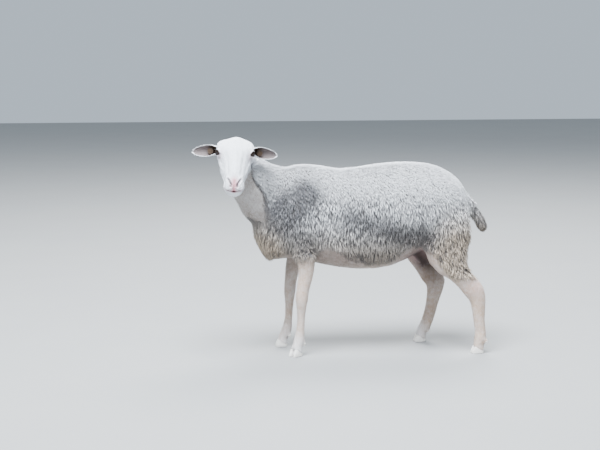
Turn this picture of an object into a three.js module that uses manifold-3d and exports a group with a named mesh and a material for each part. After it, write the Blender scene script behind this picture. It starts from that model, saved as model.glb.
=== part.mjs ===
// A dairy ewe standing at ease, its head turned to its left.
// The solids give the outline to the tips of the coat. Millimetres, +Z up. The ewe faces -X,
// its right side is towards +Y, and its face is turned towards -Y.
// The origin is on the floor, under the middle of the whole animal.
import * as THREE from "three";
import { mergeVertices } from "three/addons/utils/BufferGeometryUtils.js";
import Module from "manifold-3d";

const wasm = await Module();
wasm.setup();

// ---------------------------------------------------------------- driving sizes

const WITHERS = 727; // floor to the top of the wool at the withers
const CHEST_X = -352; // front of the breast, before its rounding
const RUMP_X = 474; // back of the rump, before its rounding
const BELLY_Z = 314; // lowest point of the belly
const BARREL_HALF = 168; // half the widest width of the barrel

const HEAD_AT = [-431, -120, 874]; // where the head's own frame stands, over the occiput
const HEAD_PITCH = 44; // nose below level, degrees
const HEAD_ROLL = 3; // crown leaning to the ewe's left
const HEAD_YAW = -3.1; // nose turned from -Y towards -X

const EYE_RADIUS = 14;
const EYE_AT = [59, -97, -29]; // left eye, in the head's own frame

const EAR_LENGTH = 124;
const EAR_WALL = [5, 2.6]; // thickness at the root and at the tip
const EAR_ROOT = [50, 2, -88]; // left ear, in the level frame of the head
const EAR_BACK = 24; // degrees swept back from straight out
const EAR_DROOP = 6;
const EAR_FACE = -12; // the trough's opening, turned down from straight ahead

const TAG_RADIUS = 12;
const TAG_STUD = 9; // radius of the stud behind the ear
const TAG_STEM = 2.5; // radius of the stem through the ear
const TAG_PLATE = 2.2; // thickness of the disc and of the stud
const TAG_REACH = [-13, 3.4]; // front of the disc and back of the stud, across the ear
const TAG_SHARE = 0.33; // how far along the ear

const CLAW_LENGTH = 47;
const CLAW_WIDTH = 20;
const CLAW_HEIGHT = 30;
const CLAW_SPREAD = 11.5; // middle of a claw from the middle of the foot
const DEWCLAW_AT = [32, 13, 47]; // behind, beside and above the middle of the foot
const DEWCLAW_RADII = [9, 8, 10];

const GAP = 0.3; // clearance between neighbouring solids
const SEAM_SHARE = 0.0009; // the same clearance, as a share of a leg's length

const TRUNK_SIDES = 26;
const NECK_SIDES = 20;
const HEAD_SIDES = 24;
const THIGH_SIDES = 16;
const LEG_SIDES = 10;

// ---------------------------------------------------------------- materials

const material = (color, roughness) =>
  new THREE.MeshStandardMaterial({ color, roughness, metalness: 0 });

const MATERIALS = {
  fleece: material(0xcfcac0, 0.95),
  hair: material(0xe9e3da, 0.85),
  skin: material(0xc09a8b, 0.7),
  horn: material(0xd8cdb4, 0.55),
  eye: material(0x24160f, 0.1),
  tag: material(0xc9922e, 0.5),
};

// ---------------------------------------------------------------- solids and meshes

const vec = (p) => new THREE.Vector3(...p);
const radians = THREE.MathUtils.degToRad;
const lerp = THREE.MathUtils.lerp;
const BOTH = [-1, 1];

function solidOf(geometry) {
  const bare = geometry.clone();
  bare.deleteAttribute("normal");
  bare.deleteAttribute("uv");
  const merged = mergeVertices(bare, 1e-3);
  return new wasm.Manifold(
    new wasm.Mesh({
      numProp: 3,
      vertProperties: merged.attributes.position.array,
      triVerts: new Uint32Array(merged.index.array),
    }),
  );
}

function geometryOf(solid) {
  const mesh = solid.getMesh();
  const positions = new Float32Array(mesh.numVert * 3);
  for (let i = 0; i < mesh.numVert; i++) {
    const start = i * mesh.numProp;
    positions.set(mesh.vertProperties.subarray(start, start + 3), i * 3);
  }
  return new THREE.BufferGeometry()
    .setAttribute("position", new THREE.BufferAttribute(positions, 3))
    .setIndex(new THREE.BufferAttribute(mesh.triVerts, 1));
}

// The largest body of a solid, without the slivers that a cut can leave.
function mainBody(solid) {
  return solid.decompose().reduce((a, b) => (a.volume() > b.volume() ? a : b));
}

// A named mesh with a turning point of its own, such as the joint it grows from.
function part(name, solid, look, pivot) {
  const geometry = geometryOf(mainBody(solid));
  geometry.translate(-pivot[0], -pivot[1], -pivot[2]);
  geometry.computeVertexNormals();
  const mesh = new THREE.Mesh(geometry, MATERIALS[look]);
  mesh.name = name;
  mesh.position.set(...pivot);
  return mesh;
}

// The same faces, turned round if they point inwards.
function facingOut(geometry) {
  if (solidOf(geometry).volume() > 0) return geometry;
  const index = Array.from(geometry.index.array);
  for (let i = 0; i < index.length; i += 3) {
    [index[i + 1], index[i + 2]] = [index[i + 2], index[i + 1]];
  }
  return geometry.clone().setIndex(index);
}

// Joins closed rings of points into one closed surface with flat ends.
function loftRings(rings) {
  const sides = rings[0].length;
  const positions = rings.flat().flatMap((p) => [p.x, p.y, p.z]);
  const index = [];
  for (let r = 0; r < rings.length - 1; r++) {
    for (let i = 0; i < sides; i++) {
      const a = r * sides + i;
      const b = r * sides + ((i + 1) % sides);
      index.push(a, b, b + sides, a, b + sides, a + sides);
    }
  }
  [0, rings.length - 1].forEach((r, end) => {
    const middle = new THREE.Vector3();
    rings[r].forEach((p) => middle.addScaledVector(p, 1 / sides));
    const centre = positions.length / 3;
    positions.push(middle.x, middle.y, middle.z);
    for (let i = 0; i < sides; i++) {
      const a = r * sides + i;
      const b = r * sides + ((i + 1) % sides);
      index.push(...(end ? [a, b, centre] : [b, a, centre]));
    }
  });
  const geometry = new THREE.BufferGeometry();
  geometry.setAttribute("position", new THREE.Float32BufferAttribute(positions, 3));
  geometry.setIndex(index);
  return facingOut(geometry);
}

// Pushes points outwards near each swell: a middle, its reach each way and the push.
const swollen = (swells) => (point) => {
  const moved = point.clone();
  swells.forEach(([at, reach, push]) => {
    const away = point.clone().sub(vec(at)).divide(vec(reach)).lengthSq();
    moved.addScaledVector(vec(push), Math.exp(-away));
  });
  return moved;
};
const mirrored = ([x, y, z], axis) => (axis === "x" ? [-x, y, z] : [x, -y, z]);
const onBothSides = (swells, axis) =>
  swells.flatMap((swell) => [
    swell,
    [mirrored(swell[0], axis), swell[1], mirrored(swell[2], axis)],
  ]);

const DOME_SHARES = [0.42, 0.8]; // of a quarter turn, from the last round to the tip

const smooth = (points) =>
  new THREE.CatmullRomCurve3(points.map(vec), false, "catmullrom", 0.5);

// One round of a body part. A squareness over 1 fills the oval out towards a box.
function oval(middle, side, up, [half, above, below], sides, squareness) {
  const ring = [];
  for (let i = 0; i < sides; i++) {
    const turn = (i / sides) * Math.PI * 2;
    const [c, s] = [Math.cos(turn), Math.sin(turn)];
    const across = Math.sign(c) * Math.abs(c) ** (1 / squareness) * half;
    const high = Math.sign(s) * Math.abs(s) ** (1 / squareness) * (s > 0 ? above : below);
    ring.push(middle.clone().addScaledVector(side, across).addScaledVector(up, high));
  }
  return ring;
}

// A round part along a smooth line through its stations. Each station has its middle (at),
// the heading of its cross axis in degrees from -Y towards +X (turn), and its half width
// along that axis with its reach to either side of it (size). The first reach is towards
// the line's heading crossed with the cross axis. With facing, all rounds face that way.
// grow makes the part larger all round.
function limb(stations, shape) {
  const { sides, steps, from = 0, to = 1, grow = 0, facing } = shape;
  const { squareness = 1, domes = [0, 0], swells = [] } = shape;
  const path = smooth(stations.map((s) => s.at));
  const sizes = smooth(stations.map((s) => s.size));
  const turns = smooth(stations.map((s) => [s.turn ?? 0, 0, 0]));
  const swell = swollen(swells);
  const frameAt = (t) => {
    const tangent = facing ? vec(facing) : path.getTangent(t);
    const turn = radians(turns.getPoint(t).x);
    const side = new THREE.Vector3(Math.sin(turn), -Math.cos(turn), 0);
    side.addScaledVector(tangent, -side.dot(tangent)).normalize();
    const up = new THREE.Vector3().crossVectors(tangent, side).normalize();
    const size = sizes.getPoint(t).toArray().map((v) => v + grow);
    return { middle: path.getPoint(t), tangent, side, up, size };
  };
  const ringAt = (f, share, shift) => {
    const middle = f.middle.clone().addScaledVector(f.tangent, shift);
    const size = f.size.map((v) => v * share);
    return oval(middle, f.side, f.up, size, sides, squareness).map(swell);
  };
  const frames = [];
  for (let i = 0; i <= steps; i++) frames.push(frameAt(lerp(from, to, i / steps)));
  const rings = frames.map((f) => ringAt(f, 1, 0));
  DOME_SHARES.forEach((d) => {
    const [share, rise] = [Math.cos((d * Math.PI) / 2), Math.sin((d * Math.PI) / 2)];
    const [first, last] = domes.map((dome) => (dome + grow) * rise);
    if (domes[0]) rings.unshift(ringAt(frames[0], share, -first));
    if (domes[1]) rings.push(ringAt(frames[steps], share, last));
  });
  return solidOf(loftRings(rings));
}

function ball(at, radii, segments = [10, 6]) {
  const sphere = new THREE.SphereGeometry(1, ...segments);
  return sphere.rotateX(Math.PI / 2).scale(...radii).translate(...at);
}

// ---------------------------------------------------------------- trunk

// Breast to rump: [x, top, bottom, half width].
const TRUNK = [
  [CHEST_X, 528, 424, 50],
  [CHEST_X + 20, 580, 384, 80],
  [-296, 640, 355, 98],
  [-250, 703, 359, 112],
  [-190, WITHERS, 360, 124],
  [-110, WITHERS - 4, 339, 138],
  [-10, WITHERS - 20, 320, 155],
  [95, WITHERS - 5, BELLY_Z, BARREL_HALF],
  [190, WITHERS + 4, 330, 166],
  [265, WITHERS + 4, 366, 154],
  [340, WITHERS - 6, 402, 142],
  [405, 692, 422, 126],
  [452, 652, 442, 102],
  [RUMP_X, 606, 468, 66],
];
const TRUNK_SWELLS = [
  [[-205, 130, 540], [90, 90, 140], [0, 15, 0]], // shoulder
  [[-250, 110, 430], [70, 80, 70], [-4, 8, -2]], // point of the shoulder
  [[300, 120, 660], [60, 70, 60], [0, 8, 0]], // hip
  [[365, 130, 560], [100, 90, 110], [0, 15, 0]], // haunch
];
const BREAST_SWELL = [[-350, 0, 498], [40, 60, 36], [-8, 0, 0]];

function trunkSolid(grow) {
  const widest = 0.46; // the level of the widest part, as a share of the height
  const stations = TRUNK.map(([x, top, bottom, half]) => {
    const middle = lerp(bottom, top, widest);
    return { at: [x, 0, middle], size: [half, middle - bottom, top - middle] };
  });
  return limb(stations, {
    sides: TRUNK_SIDES,
    steps: 20,
    facing: [1, 0, 0],
    grow,
    squareness: 1.12,
    domes: [12, 12],
    swells: [...onBothSides(TRUNK_SWELLS, "y"), BREAST_SWELL],
  });
}

// ---------------------------------------------------------------- neck

const NECK = [
  { at: [-90, 0, 545], size: [100, 150, 150], turn: 0 },
  { at: [-200, 0, 556], size: [98, 158, 162], turn: 4 },
  { at: [-300, -10, 604], size: [84, 137, 134], turn: 18 },
  { at: [-382, -36, 684], size: [88, 93, 88], turn: 48 },
  { at: [-418, -62, 738], size: [77, 82, 64], turn: 70 },
  { at: [-434, -84, 782], size: [62, 56, 42], turn: 84 },
];

const neckSolid = (grow) =>
  limb(NECK, { sides: NECK_SIDES, steps: 11, grow, domes: [10, 8] });

// ---------------------------------------------------------------- head

// In the head's own frame the nose points along -Y, the crown is +Z and the left side is +X.
// From the occiput to the nose: [distance, crown, underside, half width, level of that width].
const HEAD = [
  [6, -56, -120, 40, -88],
  [26, -33, -138, 52, -80],
  [52, -11, -146, 59, -70],
  [78, 3, -142, 60, -60],
  [104, 6, -132, 56, -54],
  [130, 3, -120, 49, -52],
  [158, -1, -109, 42, -50],
  [188, -4, -99, 37, -50],
  [216, -9, -94, 34, -52],
  [240, -18, -94, 33, -56],
  [256, -30, -90, 28, -58],
];
const HEAD_SWELLS = [
  [[58, -88, -14], [24, 30, 18], [16, 0, 3]], // rim over the eye
  [[56, -104, -48], [22, 36, 16], [9, 0, 0]], // cheekbone
  [[46, -64, -104], [30, 44, 36], [12, 0, -2]], // jaw muscle
  [[40, -164, -82], [22, 46, 30], [14, 0, -1]], // cheek
  [[52, -46, -48], [24, 26, 26], [13, 4, 9]], // root of the ear
  [[26, -250, -42], [13, 16, 14], [5, -3, 3]], // wing of the nostril
  [[30, -238, -68], [16, 22, 14], [6, 0, 0]], // upper lip
];
const MIDDLE_SWELLS = [
  [[4, -44, -14], [30, 34, 30], [0, 2, 19]], // crown
  [[0, -238, -94], [26, 20, 14], [0, -3, -3]], // chin
];

const MOUTH = { back: [60, -100], front: [275, -52] }; // the line between the jaws
const JAW_JOINT = [0, -60, -110];

const headPlace = (pitch) =>
  new THREE.Matrix4().compose(
    vec(HEAD_AT),
    new THREE.Quaternion().setFromEuler(
      new THREE.Euler(radians(pitch), radians(HEAD_ROLL), radians(HEAD_YAW), "ZYX"),
    ),
    new THREE.Vector3(1, 1, 1),
  );
const headTurn = headPlace(HEAD_PITCH);
const headLevel = headPlace(0);
const inHead = (p) => vec(p).applyMatrix4(headTurn);

function headSolid(grow) {
  const stations = HEAD.map(([along, top, bottom, half, level]) => ({
    at: [0, -along, level],
    size: [half, top - level, level - bottom],
    turn: 90,
  }));
  const head = limb(stations, {
    sides: HEAD_SIDES,
    steps: 16,
    facing: [0, -1, 0],
    grow,
    squareness: 1.16,
    domes: [8, 12],
    swells: [...onBothSides(HEAD_SWELLS, "x"), ...MIDDLE_SWELLS],
  });
  return head.transform(headTurn.elements);
}

// The plane between the jaws, facing the crown.
function mouthPlane() {
  const [back, front] = [MOUTH.back, MOUTH.front].map(([along, z]) => inHead([0, -along, z]));
  const across = inHead([1, 0, 0]).sub(inHead([0, 0, 0]));
  const normal = new THREE.Vector3().crossVectors(across, front.sub(back)).negate().normalize();
  return { normal, offset: normal.dot(back) };
}

const eyeCentre = (side) => [side * EYE_AT[0], EYE_AT[1], EYE_AT[2]];
function eyeSolid(side, grow) {
  const radius = EYE_RADIUS + grow;
  return solidOf(ball(eyeCentre(side), [radius, radius, radius], [12, 8]).applyMatrix4(headTurn));
}

// ---------------------------------------------------------------- ears and their tags

// An ear is a long leaf rolled into a trough that opens forwards.
// Root to tip: [share of the length, half width, how far round it rolls in degrees].
const EAR = [
  [0.0, 16, 150],
  [0.12, 19.5, 128],
  [0.28, 23, 98],
  [0.46, 24.5, 76],
  [0.64, 22.5, 62],
  [0.8, 17.5, 52],
  [0.92, 11, 46],
  [1.0, 4, 40],
];
const EAR_ARC_POINTS = 6;
const EAR_LIP = 0.96; // how far round the inside rolls, as a share of the outside

// Where things in the ear's own frame stand. There x runs to the tip, and the trough opens
// towards -y.
const earPlace = (side) =>
  headLevel
    .clone()
    .multiply(new THREE.Matrix4().makeTranslation(side * EAR_ROOT[0], EAR_ROOT[1], EAR_ROOT[2]))
    .multiply(new THREE.Matrix4().makeScale(side, 1, 1))
    .multiply(new THREE.Matrix4().makeRotationZ(radians(EAR_BACK)))
    .multiply(new THREE.Matrix4().makeRotationY(radians(EAR_DROOP)))
    .multiply(new THREE.Matrix4().makeRotationX(radians(EAR_FACE)));

const solidOnEar = (geometry, side) => solidOf(facingOut(geometry.applyMatrix4(earPlace(side))));

function earSolid(side) {
  const rings = EAR.map(([share, half, roll], i) => {
    const spread = radians(roll);
    const radius = half / Math.sin(Math.min(spread, Math.PI / 2));
    const wall = lerp(...EAR_WALL, i / (EAR.length - 1));
    const arc = (r, reach) =>
      Array.from({ length: EAR_ARC_POINTS }, (_, j) => {
        const angle = lerp(-reach, reach, j / (EAR_ARC_POINTS - 1));
        return new THREE.Vector3(
          share * EAR_LENGTH,
          r * Math.cos(angle) - radius,
          -r * Math.sin(angle),
        );
      });
    return [...arc(radius, spread), ...arc(radius - wall, spread * EAR_LIP).reverse()];
  });
  return solidOnEar(loftRings(rings), side);
}

// A two-piece button tag: a disc in the trough, a stem through the ear and a stud behind it.
function tagSolid(side, grow) {
  const [front, back] = TAG_REACH;
  const pieces = [
    [TAG_RADIUS, front, front + TAG_PLATE],
    [TAG_STEM, front + TAG_PLATE / 2, back - TAG_PLATE / 2],
    [TAG_STUD, back - TAG_PLATE, back],
  ];
  return pieces
    .map(([radius, from, to]) => {
      const reach = radius + grow;
      const disc = new THREE.CylinderGeometry(reach, reach, to - from + 2 * grow, 12);
      return solidOnEar(disc.translate(EAR_LENGTH * TAG_SHARE, (from + to) / 2, 0), side);
    })
    .reduce((all, piece) => all.add(piece));
}

// ---------------------------------------------------------------- legs

// Each leg runs from inside the body to the foot. Its rows give the middle of the leg and
// the half widths across, forwards and backwards.
const leg = (rows) =>
  rows.map(([x, y, z, across, fore, aft]) => ({ at: [x, y, z], size: [across, aft, fore] }));

const LEGS = {
  foreleg_left: {
    stations: leg([
      [-190, -72, 500, 40, 62, 62],
      [-176, -92, 430, 42, 52, 56],
      [-166, -106, 378, 38, 38, 42],
      [-165, -114, 345, 31, 33, 35],
      [-169, -118, 300, 25, 28, 29],
      [-180, -120, 250, 23, 25, 25],
      [-184, -121, 216, 25, 26, 24],
      [-185, -121, 180, 19, 18, 18],
      [-186, -122, 130, 16, 15, 16],
      [-189, -123, 92, 17, 16, 18],
      [-192, -124, 68, 20, 20, 21],
      [-199, -129, 44, 19, 20, 20],
      [-206, -134, 26, 18, 21, 20],
    ]),
    joints: [0, 0.46, 0.8, 1],
    heading: 38,
    foot: [-209, -136],
  },
  foreleg_right: {
    stations: leg([
      [-190, 62, 500, 40, 62, 62],
      [-184, 70, 430, 42, 52, 56],
      [-184, 66, 378, 38, 38, 42],
      [-192, 62, 345, 31, 33, 35],
      [-202, 58, 300, 25, 27, 29],
      [-210, 55, 250, 22, 24, 25],
      [-213, 54, 216, 24, 24, 24],
      [-214, 53, 180, 19, 18, 18],
      [-216, 52, 130, 16, 15, 16],
      [-219, 52, 92, 17, 16, 18],
      [-224, 52, 68, 20, 20, 21],
      [-234, 52, 44, 19, 20, 20],
      [-243, 52, 26, 18, 21, 20],
    ]),
    joints: [0, 0.46, 0.8, 1],
    heading: 0,
    foot: [-247, 52],
  },
  hindleg_left: {
    stations: leg([
      [388, -58, 600, 48, 80, 76],
      [378, -94, 500, 62, 104, 84],
      [374, -100, 420, 60, 106, 90],
      [396, -122, 356, 44, 72, 74],
      [424, -134, 314, 35, 46, 46],
      [452, -141, 280, 28, 38, 40],
      [481, -145, 246, 25, 38, 44],
      [494, -146, 210, 21, 33, 33],
      [498, -146, 170, 18, 28, 27],
      [503, -147, 122, 17, 21, 23],
      [508, -148, 84, 18, 21, 23],
      [508, -149, 62, 21, 22, 25],
      [503, -150, 40, 20, 22, 22],
      [497, -150, 26, 19, 22, 21],
    ]),
    joints: [0, 0.4, 0.58, 0.82, 1],
    heading: 6,
    foot: [494, -150],
  },
  hindleg_right: {
    stations: leg([
      [385, 58, 600, 48, 80, 76],
      [352, 92, 500, 64, 100, 100],
      [322, 98, 420, 58, 84, 104],
      [318, 96, 356, 44, 62, 66],
      [334, 94, 308, 34, 42, 44],
      [354, 92, 276, 28, 38, 46],
      [376, 90, 246, 25, 38, 48],
      [376, 90, 208, 21, 29, 38],
      [367, 90, 168, 18, 24, 31],
      [356, 89, 122, 17, 22, 27],
      [344, 89, 84, 18, 22, 26],
      [334, 89, 62, 21, 22, 25],
      [322, 89, 40, 20, 22, 22],
      [314, 89, 26, 19, 22, 21],
    ]),
    joints: [0, 0.4, 0.58, 0.82, 1],
    heading: 4,
    foot: [311, 89],
  },
};
const LEG_PARTS = {
  fore: ["forearm", "cannon", "pastern"],
  hind: ["thigh", "gaskin", "cannon", "pastern"],
};

// The horn of a claw, sole to coronet: shares of its height, length and width, and how far
// back its middle lies as a share of the length.
const CLAW_RINGS = [
  [0, 1, 1, 0],
  [0.4, 0.96, 1, 0.03],
  [1, 0.78, 0.86, 0.12],
];
const CLAW_SIDES = 10;
const CLAW_POINT = 0.18; // how much narrower the toe is

// One claw, standing on its flat sole with its toe towards -X.
function clawGeometry() {
  const rings = CLAW_RINGS.map(([height, length, width, back]) =>
    Array.from({ length: CLAW_SIDES }, (_, i) => {
      const turn = (i / CLAW_SIDES) * Math.PI * 2;
      const [c, s] = [Math.cos(turn), Math.sin(turn)];
      const narrow = 1 - CLAW_POINT * Math.max(c, 0) ** 2;
      const across = Math.sign(s) * Math.abs(s) ** 0.75 * narrow;
      return new THREE.Vector3(
        back * CLAW_LENGTH - c * length * CLAW_LENGTH * 0.5,
        across * width * CLAW_WIDTH * 0.5,
        height * CLAW_HEIGHT,
      );
    }),
  );
  return loftRings(rings);
}

const dewclawGeometry = (grow) =>
  ball([0, 0, 0], DEWCLAW_RADII.map((r) => r + grow), [6, 5]);

// The claws and dewclaws of one foot, turned the way it points.
function footGroup(name, { foot, heading }) {
  const group = new THREE.Group();
  const outward = name.endsWith("left") ? -1 : 1;
  [["outer", outward], ["inner", -outward]].forEach(([which, side]) => {
    const claw = new THREE.Mesh(clawGeometry(), MATERIALS.horn);
    claw.name = `${name}_claw_${which}`;
    claw.position.y = side * CLAW_SPREAD;
    const dewclaw = new THREE.Mesh(dewclawGeometry(0), MATERIALS.horn);
    dewclaw.name = `${name}_dewclaw_${which}`;
    dewclaw.position.set(DEWCLAW_AT[0], side * DEWCLAW_AT[1], DEWCLAW_AT[2]);
    group.add(claw, dewclaw);
  });
  group.position.set(foot[0], foot[1], 0);
  group.rotation.z = radians(heading);
  group.updateMatrixWorld(true);
  return group;
}

const cutBy = (solid, cuts) => cuts.reduce((left, cut) => left.subtract(cut), solid);

// The first piece of a leg is the one that grows out of the body.
function legPiece({ stations, joints }, i, grow) {
  return limb(stations, {
    sides: joints.length > 4 && i === 0 ? THIGH_SIDES : LEG_SIDES,
    steps: i ? 5 : 8,
    from: joints[i] + (i ? SEAM_SHARE : 0),
    to: joints[i + 1],
    grow,
  });
}

// A pastern ends flat on its claws and leaves room for its dewclaws.
function pasternSolid(whole, foot) {
  const dewclaws = foot.children.filter((mesh) => mesh.name.includes("dewclaw"));
  const cuts = dewclaws.map((mesh) =>
    solidOf(dewclawGeometry(GAP).applyMatrix4(mesh.matrixWorld)),
  );
  return cutBy(whole.trimByPlane([0, 0, 1], CLAW_HEIGHT + GAP), cuts);
}

function legGroup(name, plan, bodyCuts) {
  const group = new THREE.Group();
  const foot = footGroup(name, plan);
  LEG_PARTS[name.slice(0, 4)].forEach((piece, i) => {
    let solid = legPiece(plan, i, 0);
    if (i === 0) solid = cutBy(solid, bodyCuts);
    if (piece === "pastern") solid = pasternSolid(solid, foot);
    const joint = smooth(plan.stations.map((s) => s.at)).getPoint(plan.joints[i]);
    group.add(part(`${name}_${piece}`, solid, i ? "hair" : "fleece", joint.toArray()));
  });
  group.add(foot);
  return group;
}

// ---------------------------------------------------------------- tail and udder

const TAIL = [
  { at: [460, 0, 600], size: [24, 26, 28] },
  { at: [484, 0, 570], size: [24, 25, 26] },
  { at: [507, 0, 530], size: [23, 24, 25] },
  { at: [530, 0, 496], size: [24, 26, 26] },
  { at: [546, 0, 464], size: [21, 23, 22] },
];
const tailSolid = () => limb(TAIL, { sides: 10, steps: 8, domes: [6, 16] });

const UDDER_AT = [322, -4, 382];
function udderSolid() {
  const bag = solidOf(ball(UDDER_AT, [62, 52, 58]));
  const teats = BOTH.map((side) => solidOf(ball([300, side * 26 - 4, 334], [9, 9, 18], [8, 5])));
  return teats.reduce((all, teat) => all.add(teat), bag);
}

// ---------------------------------------------------------------- the whole animal

const ewe = new THREE.Group();
ewe.name = "ewe";

const trunk = trunkSolid(0);
const trunkCut = trunkSolid(GAP);
const neckCut = neckSolid(GAP);
const headCut = headSolid(GAP);
ewe.add(part("trunk", trunk, "fleece", [0, 0, BELLY_Z]));
ewe.add(part("neck", cutBy(neckSolid(0), [trunkCut, headCut]), "fleece", NECK[2].at));
ewe.add(part("tail", tailSolid().subtract(trunkCut), "fleece", TAIL[0].at));

const skull = cutBy(headSolid(0), BOTH.map((side) => eyeSolid(side, GAP)));
const mouth = mouthPlane();
const upper = skull.trimByPlane(mouth.normal.toArray(), mouth.offset + GAP / 2);
const lower = skull.trimByPlane(mouth.normal.clone().negate().toArray(), GAP / 2 - mouth.offset);
ewe.add(part("head", upper, "hair", inHead([0, 0, 0]).toArray()));
ewe.add(part("lower_jaw", lower, "hair", inHead(JAW_JOINT).toArray()));

BOTH.forEach((side) => {
  const name = side > 0 ? "left" : "right";
  const root = vec([0, 0, 0]).applyMatrix4(earPlace(side)).toArray();
  const ear = cutBy(earSolid(side), [headCut, neckCut, tagSolid(side, GAP)]);
  ewe.add(part(`eye_${name}`, eyeSolid(side, 0), "eye", inHead(eyeCentre(side)).toArray()));
  ewe.add(part(`ear_${name}`, ear, "hair", root));
  ewe.add(part(`ear_tag_${name}`, tagSolid(side, 0), "tag", root));
});

Object.entries(LEGS).forEach(([name, plan]) => {
  ewe.add(legGroup(name, plan, [trunkCut, neckCut]));
});
const thighCuts = [LEGS.hindleg_left, LEGS.hindleg_right].map((plan) => legPiece(plan, 0, GAP));
ewe.add(part("udder", cutBy(udderSolid(), [trunkCut, ...thighCuts]), "skin", UDDER_AT));

const middle = new THREE.Box3().setFromObject(ewe).getCenter(new THREE.Vector3());
ewe.position.set(-middle.x, -middle.y, 0);

export default ewe;
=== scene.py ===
"""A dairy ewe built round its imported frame: skin, locks of wool, short hair, eyes, claws and ear tags."""

import math

import bmesh
import bpy
import numpy as np
from bpy.props import FloatProperty, FloatVectorProperty, IntProperty, PointerProperty
from mathutils import Matrix, Vector
from mathutils.bvhtree import BVHTree
from mathutils.kdtree import KDTree


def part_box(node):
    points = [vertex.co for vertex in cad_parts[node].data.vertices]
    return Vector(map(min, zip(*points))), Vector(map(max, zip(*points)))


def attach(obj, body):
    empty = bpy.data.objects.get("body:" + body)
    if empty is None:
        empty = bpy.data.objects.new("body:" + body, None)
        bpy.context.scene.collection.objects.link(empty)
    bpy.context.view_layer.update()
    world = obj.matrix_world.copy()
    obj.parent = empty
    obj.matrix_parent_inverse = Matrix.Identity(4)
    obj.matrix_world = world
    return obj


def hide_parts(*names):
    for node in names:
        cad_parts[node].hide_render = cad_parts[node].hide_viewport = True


bl_info = {
    "name": "Ewe",
    "version": (1, 0, 0),
    "blender": (4, 5, 0),
    "location": "3D View > Sidebar > Ewe",
    "description": "Builds the looks of a standing ewe round its frame",
    "category": "Object",
}

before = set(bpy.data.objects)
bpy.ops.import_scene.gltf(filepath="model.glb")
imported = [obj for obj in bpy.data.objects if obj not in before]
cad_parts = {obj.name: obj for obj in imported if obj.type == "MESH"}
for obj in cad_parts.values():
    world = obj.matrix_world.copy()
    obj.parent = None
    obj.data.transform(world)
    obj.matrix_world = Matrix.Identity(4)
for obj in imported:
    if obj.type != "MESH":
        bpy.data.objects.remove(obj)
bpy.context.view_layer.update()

MM = 0.001
SIDES = {"right": -1, "left": 1}
LEGS = ("foreleg_left", "foreleg_right", "hindleg_left", "hindleg_right")
UPPER_LEG = {
    "foreleg": ("forearm", "cannon", "pastern"),
    "hindleg": ("thigh", "gaskin", "cannon", "pastern"),
}
LEG_NODES = [f"{leg}_{part}" for leg in LEGS for part in UPPER_LEG[leg.split("_")[0]]]
BODY_NODES = ["trunk", "neck", "tail", "udder", "head", "lower_jaw", *LEG_NODES]
EAR_NODES = ["ear_right", "ear_left"]
HORN_PARTS = ("claw_outer", "claw_inner", "dewclaw_outer", "dewclaw_inner")
HORN_NODES = [f"{leg}_{part}" for leg in LEGS for part in HORN_PARTS]

MIDDLE_Y = 0.0576  # the trunk's middle plane
# The head's own frame: its origin, a little above the crown, and its turns in degrees.
HEAD_AT = (-0.41493, -0.06239, 0.874)
HEAD_YAW, HEAD_ROLL, HEAD_PITCH = -3.1, 3.0, 44.0

# The eye, in millimetres and in the head's own frame: x to the side, -y to the nose, z to the crown.
EYE_AT = (59.0, -97.0, -29.0)
EYE_RADIUS = 14.0
EYE_LOOK = (0.77, -0.51, 0.40)
EYE_LONG = (-0.52, -0.62, 0.32)  # from the eye towards its tear corner
LID_REACH = (16.5, 14.0)  # from the middle to the tear corner and to the outer corner
LID_RISE = (6.8, 4.8)  # from the middle to the upper lid and to the lower lid

# The ear, in millimetres and in the head's frame before its pitch. EAR_TURN has its turn back, its droop
# and its roll in degrees. Rows give the share of its length, half its width and half its curl in degrees.
EAR_LENGTH = 124.0
EAR_ROOT = (50.0, 2.0, -88.0)
EAR_TURN = (24.0, 6.0, -12.0)
EAR_ROWS = [
    (-0.16, 12.0, 160), (0.0, 15.0, 150), (0.12, 19.0, 128), (0.28, 22.5, 98), (0.46, 24.0, 76),
    (0.64, 22.0, 62), (0.8, 17.0, 52), (0.92, 10.5, 46), (0.985, 4.0, 40),
]
EAR_THICK = 3.0
TAG_SHARE = 0.33
# The plates and the stem of a tag: radius, and where it starts and ends across the ear.
TAG_PARTS = [(12.0, -13.0, -10.8), (4.5, -14.2, -12.6), (2.5, -11.2, 2.0), (9.0, 1.4, 3.4)]

# Lowest edge of the fleece: distance along the body and height above the floor.
FLEECE_HEM = [
    (-0.40, 0.340), (-0.30, 0.350), (-0.262, 0.376), (-0.217, 0.380), (-0.188, 0.372),
    (-0.148, 0.378), (-0.12, 0.388), (-0.09, 0.415), (-0.074, 0.427), (-0.041, 0.415),
    (0.003, 0.390), (0.04, 0.364), (0.086, 0.343), (0.139, 0.335), (0.185, 0.345),
    (0.205, 0.385), (0.221, 0.403), (0.252, 0.418), (0.294, 0.420), (0.329, 0.403),
    (0.353, 0.368), (0.368, 0.345), (0.399, 0.313), (0.441, 0.294), (0.472, 0.300), (0.52, 0.305),
]
# Square metres under the fleece, counted more where its locks stand closer.
FLEECE_AREA = 1.365

# The bare throat: height, middle of the neck there (x, y), the way the throat faces and half its
# width, both in degrees round the neck.
THROAT = [
    (0.480, -0.200, 0.058, 180, 40),
    (0.546, -0.200, 0.058, 180, 47),
    (0.590, -0.270, 0.050, 180, 70),
    (0.622, -0.300, 0.044, 182, 83),
    (0.671, -0.355, 0.020, 198, 83),
    (0.713, -0.383, 0.004, 217, 76),
    (0.743, -0.403, -0.007, 230, 86),
    (0.800, -0.420, -0.028, 245, 88),
]
NECK_BASE_X = -0.2
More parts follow.
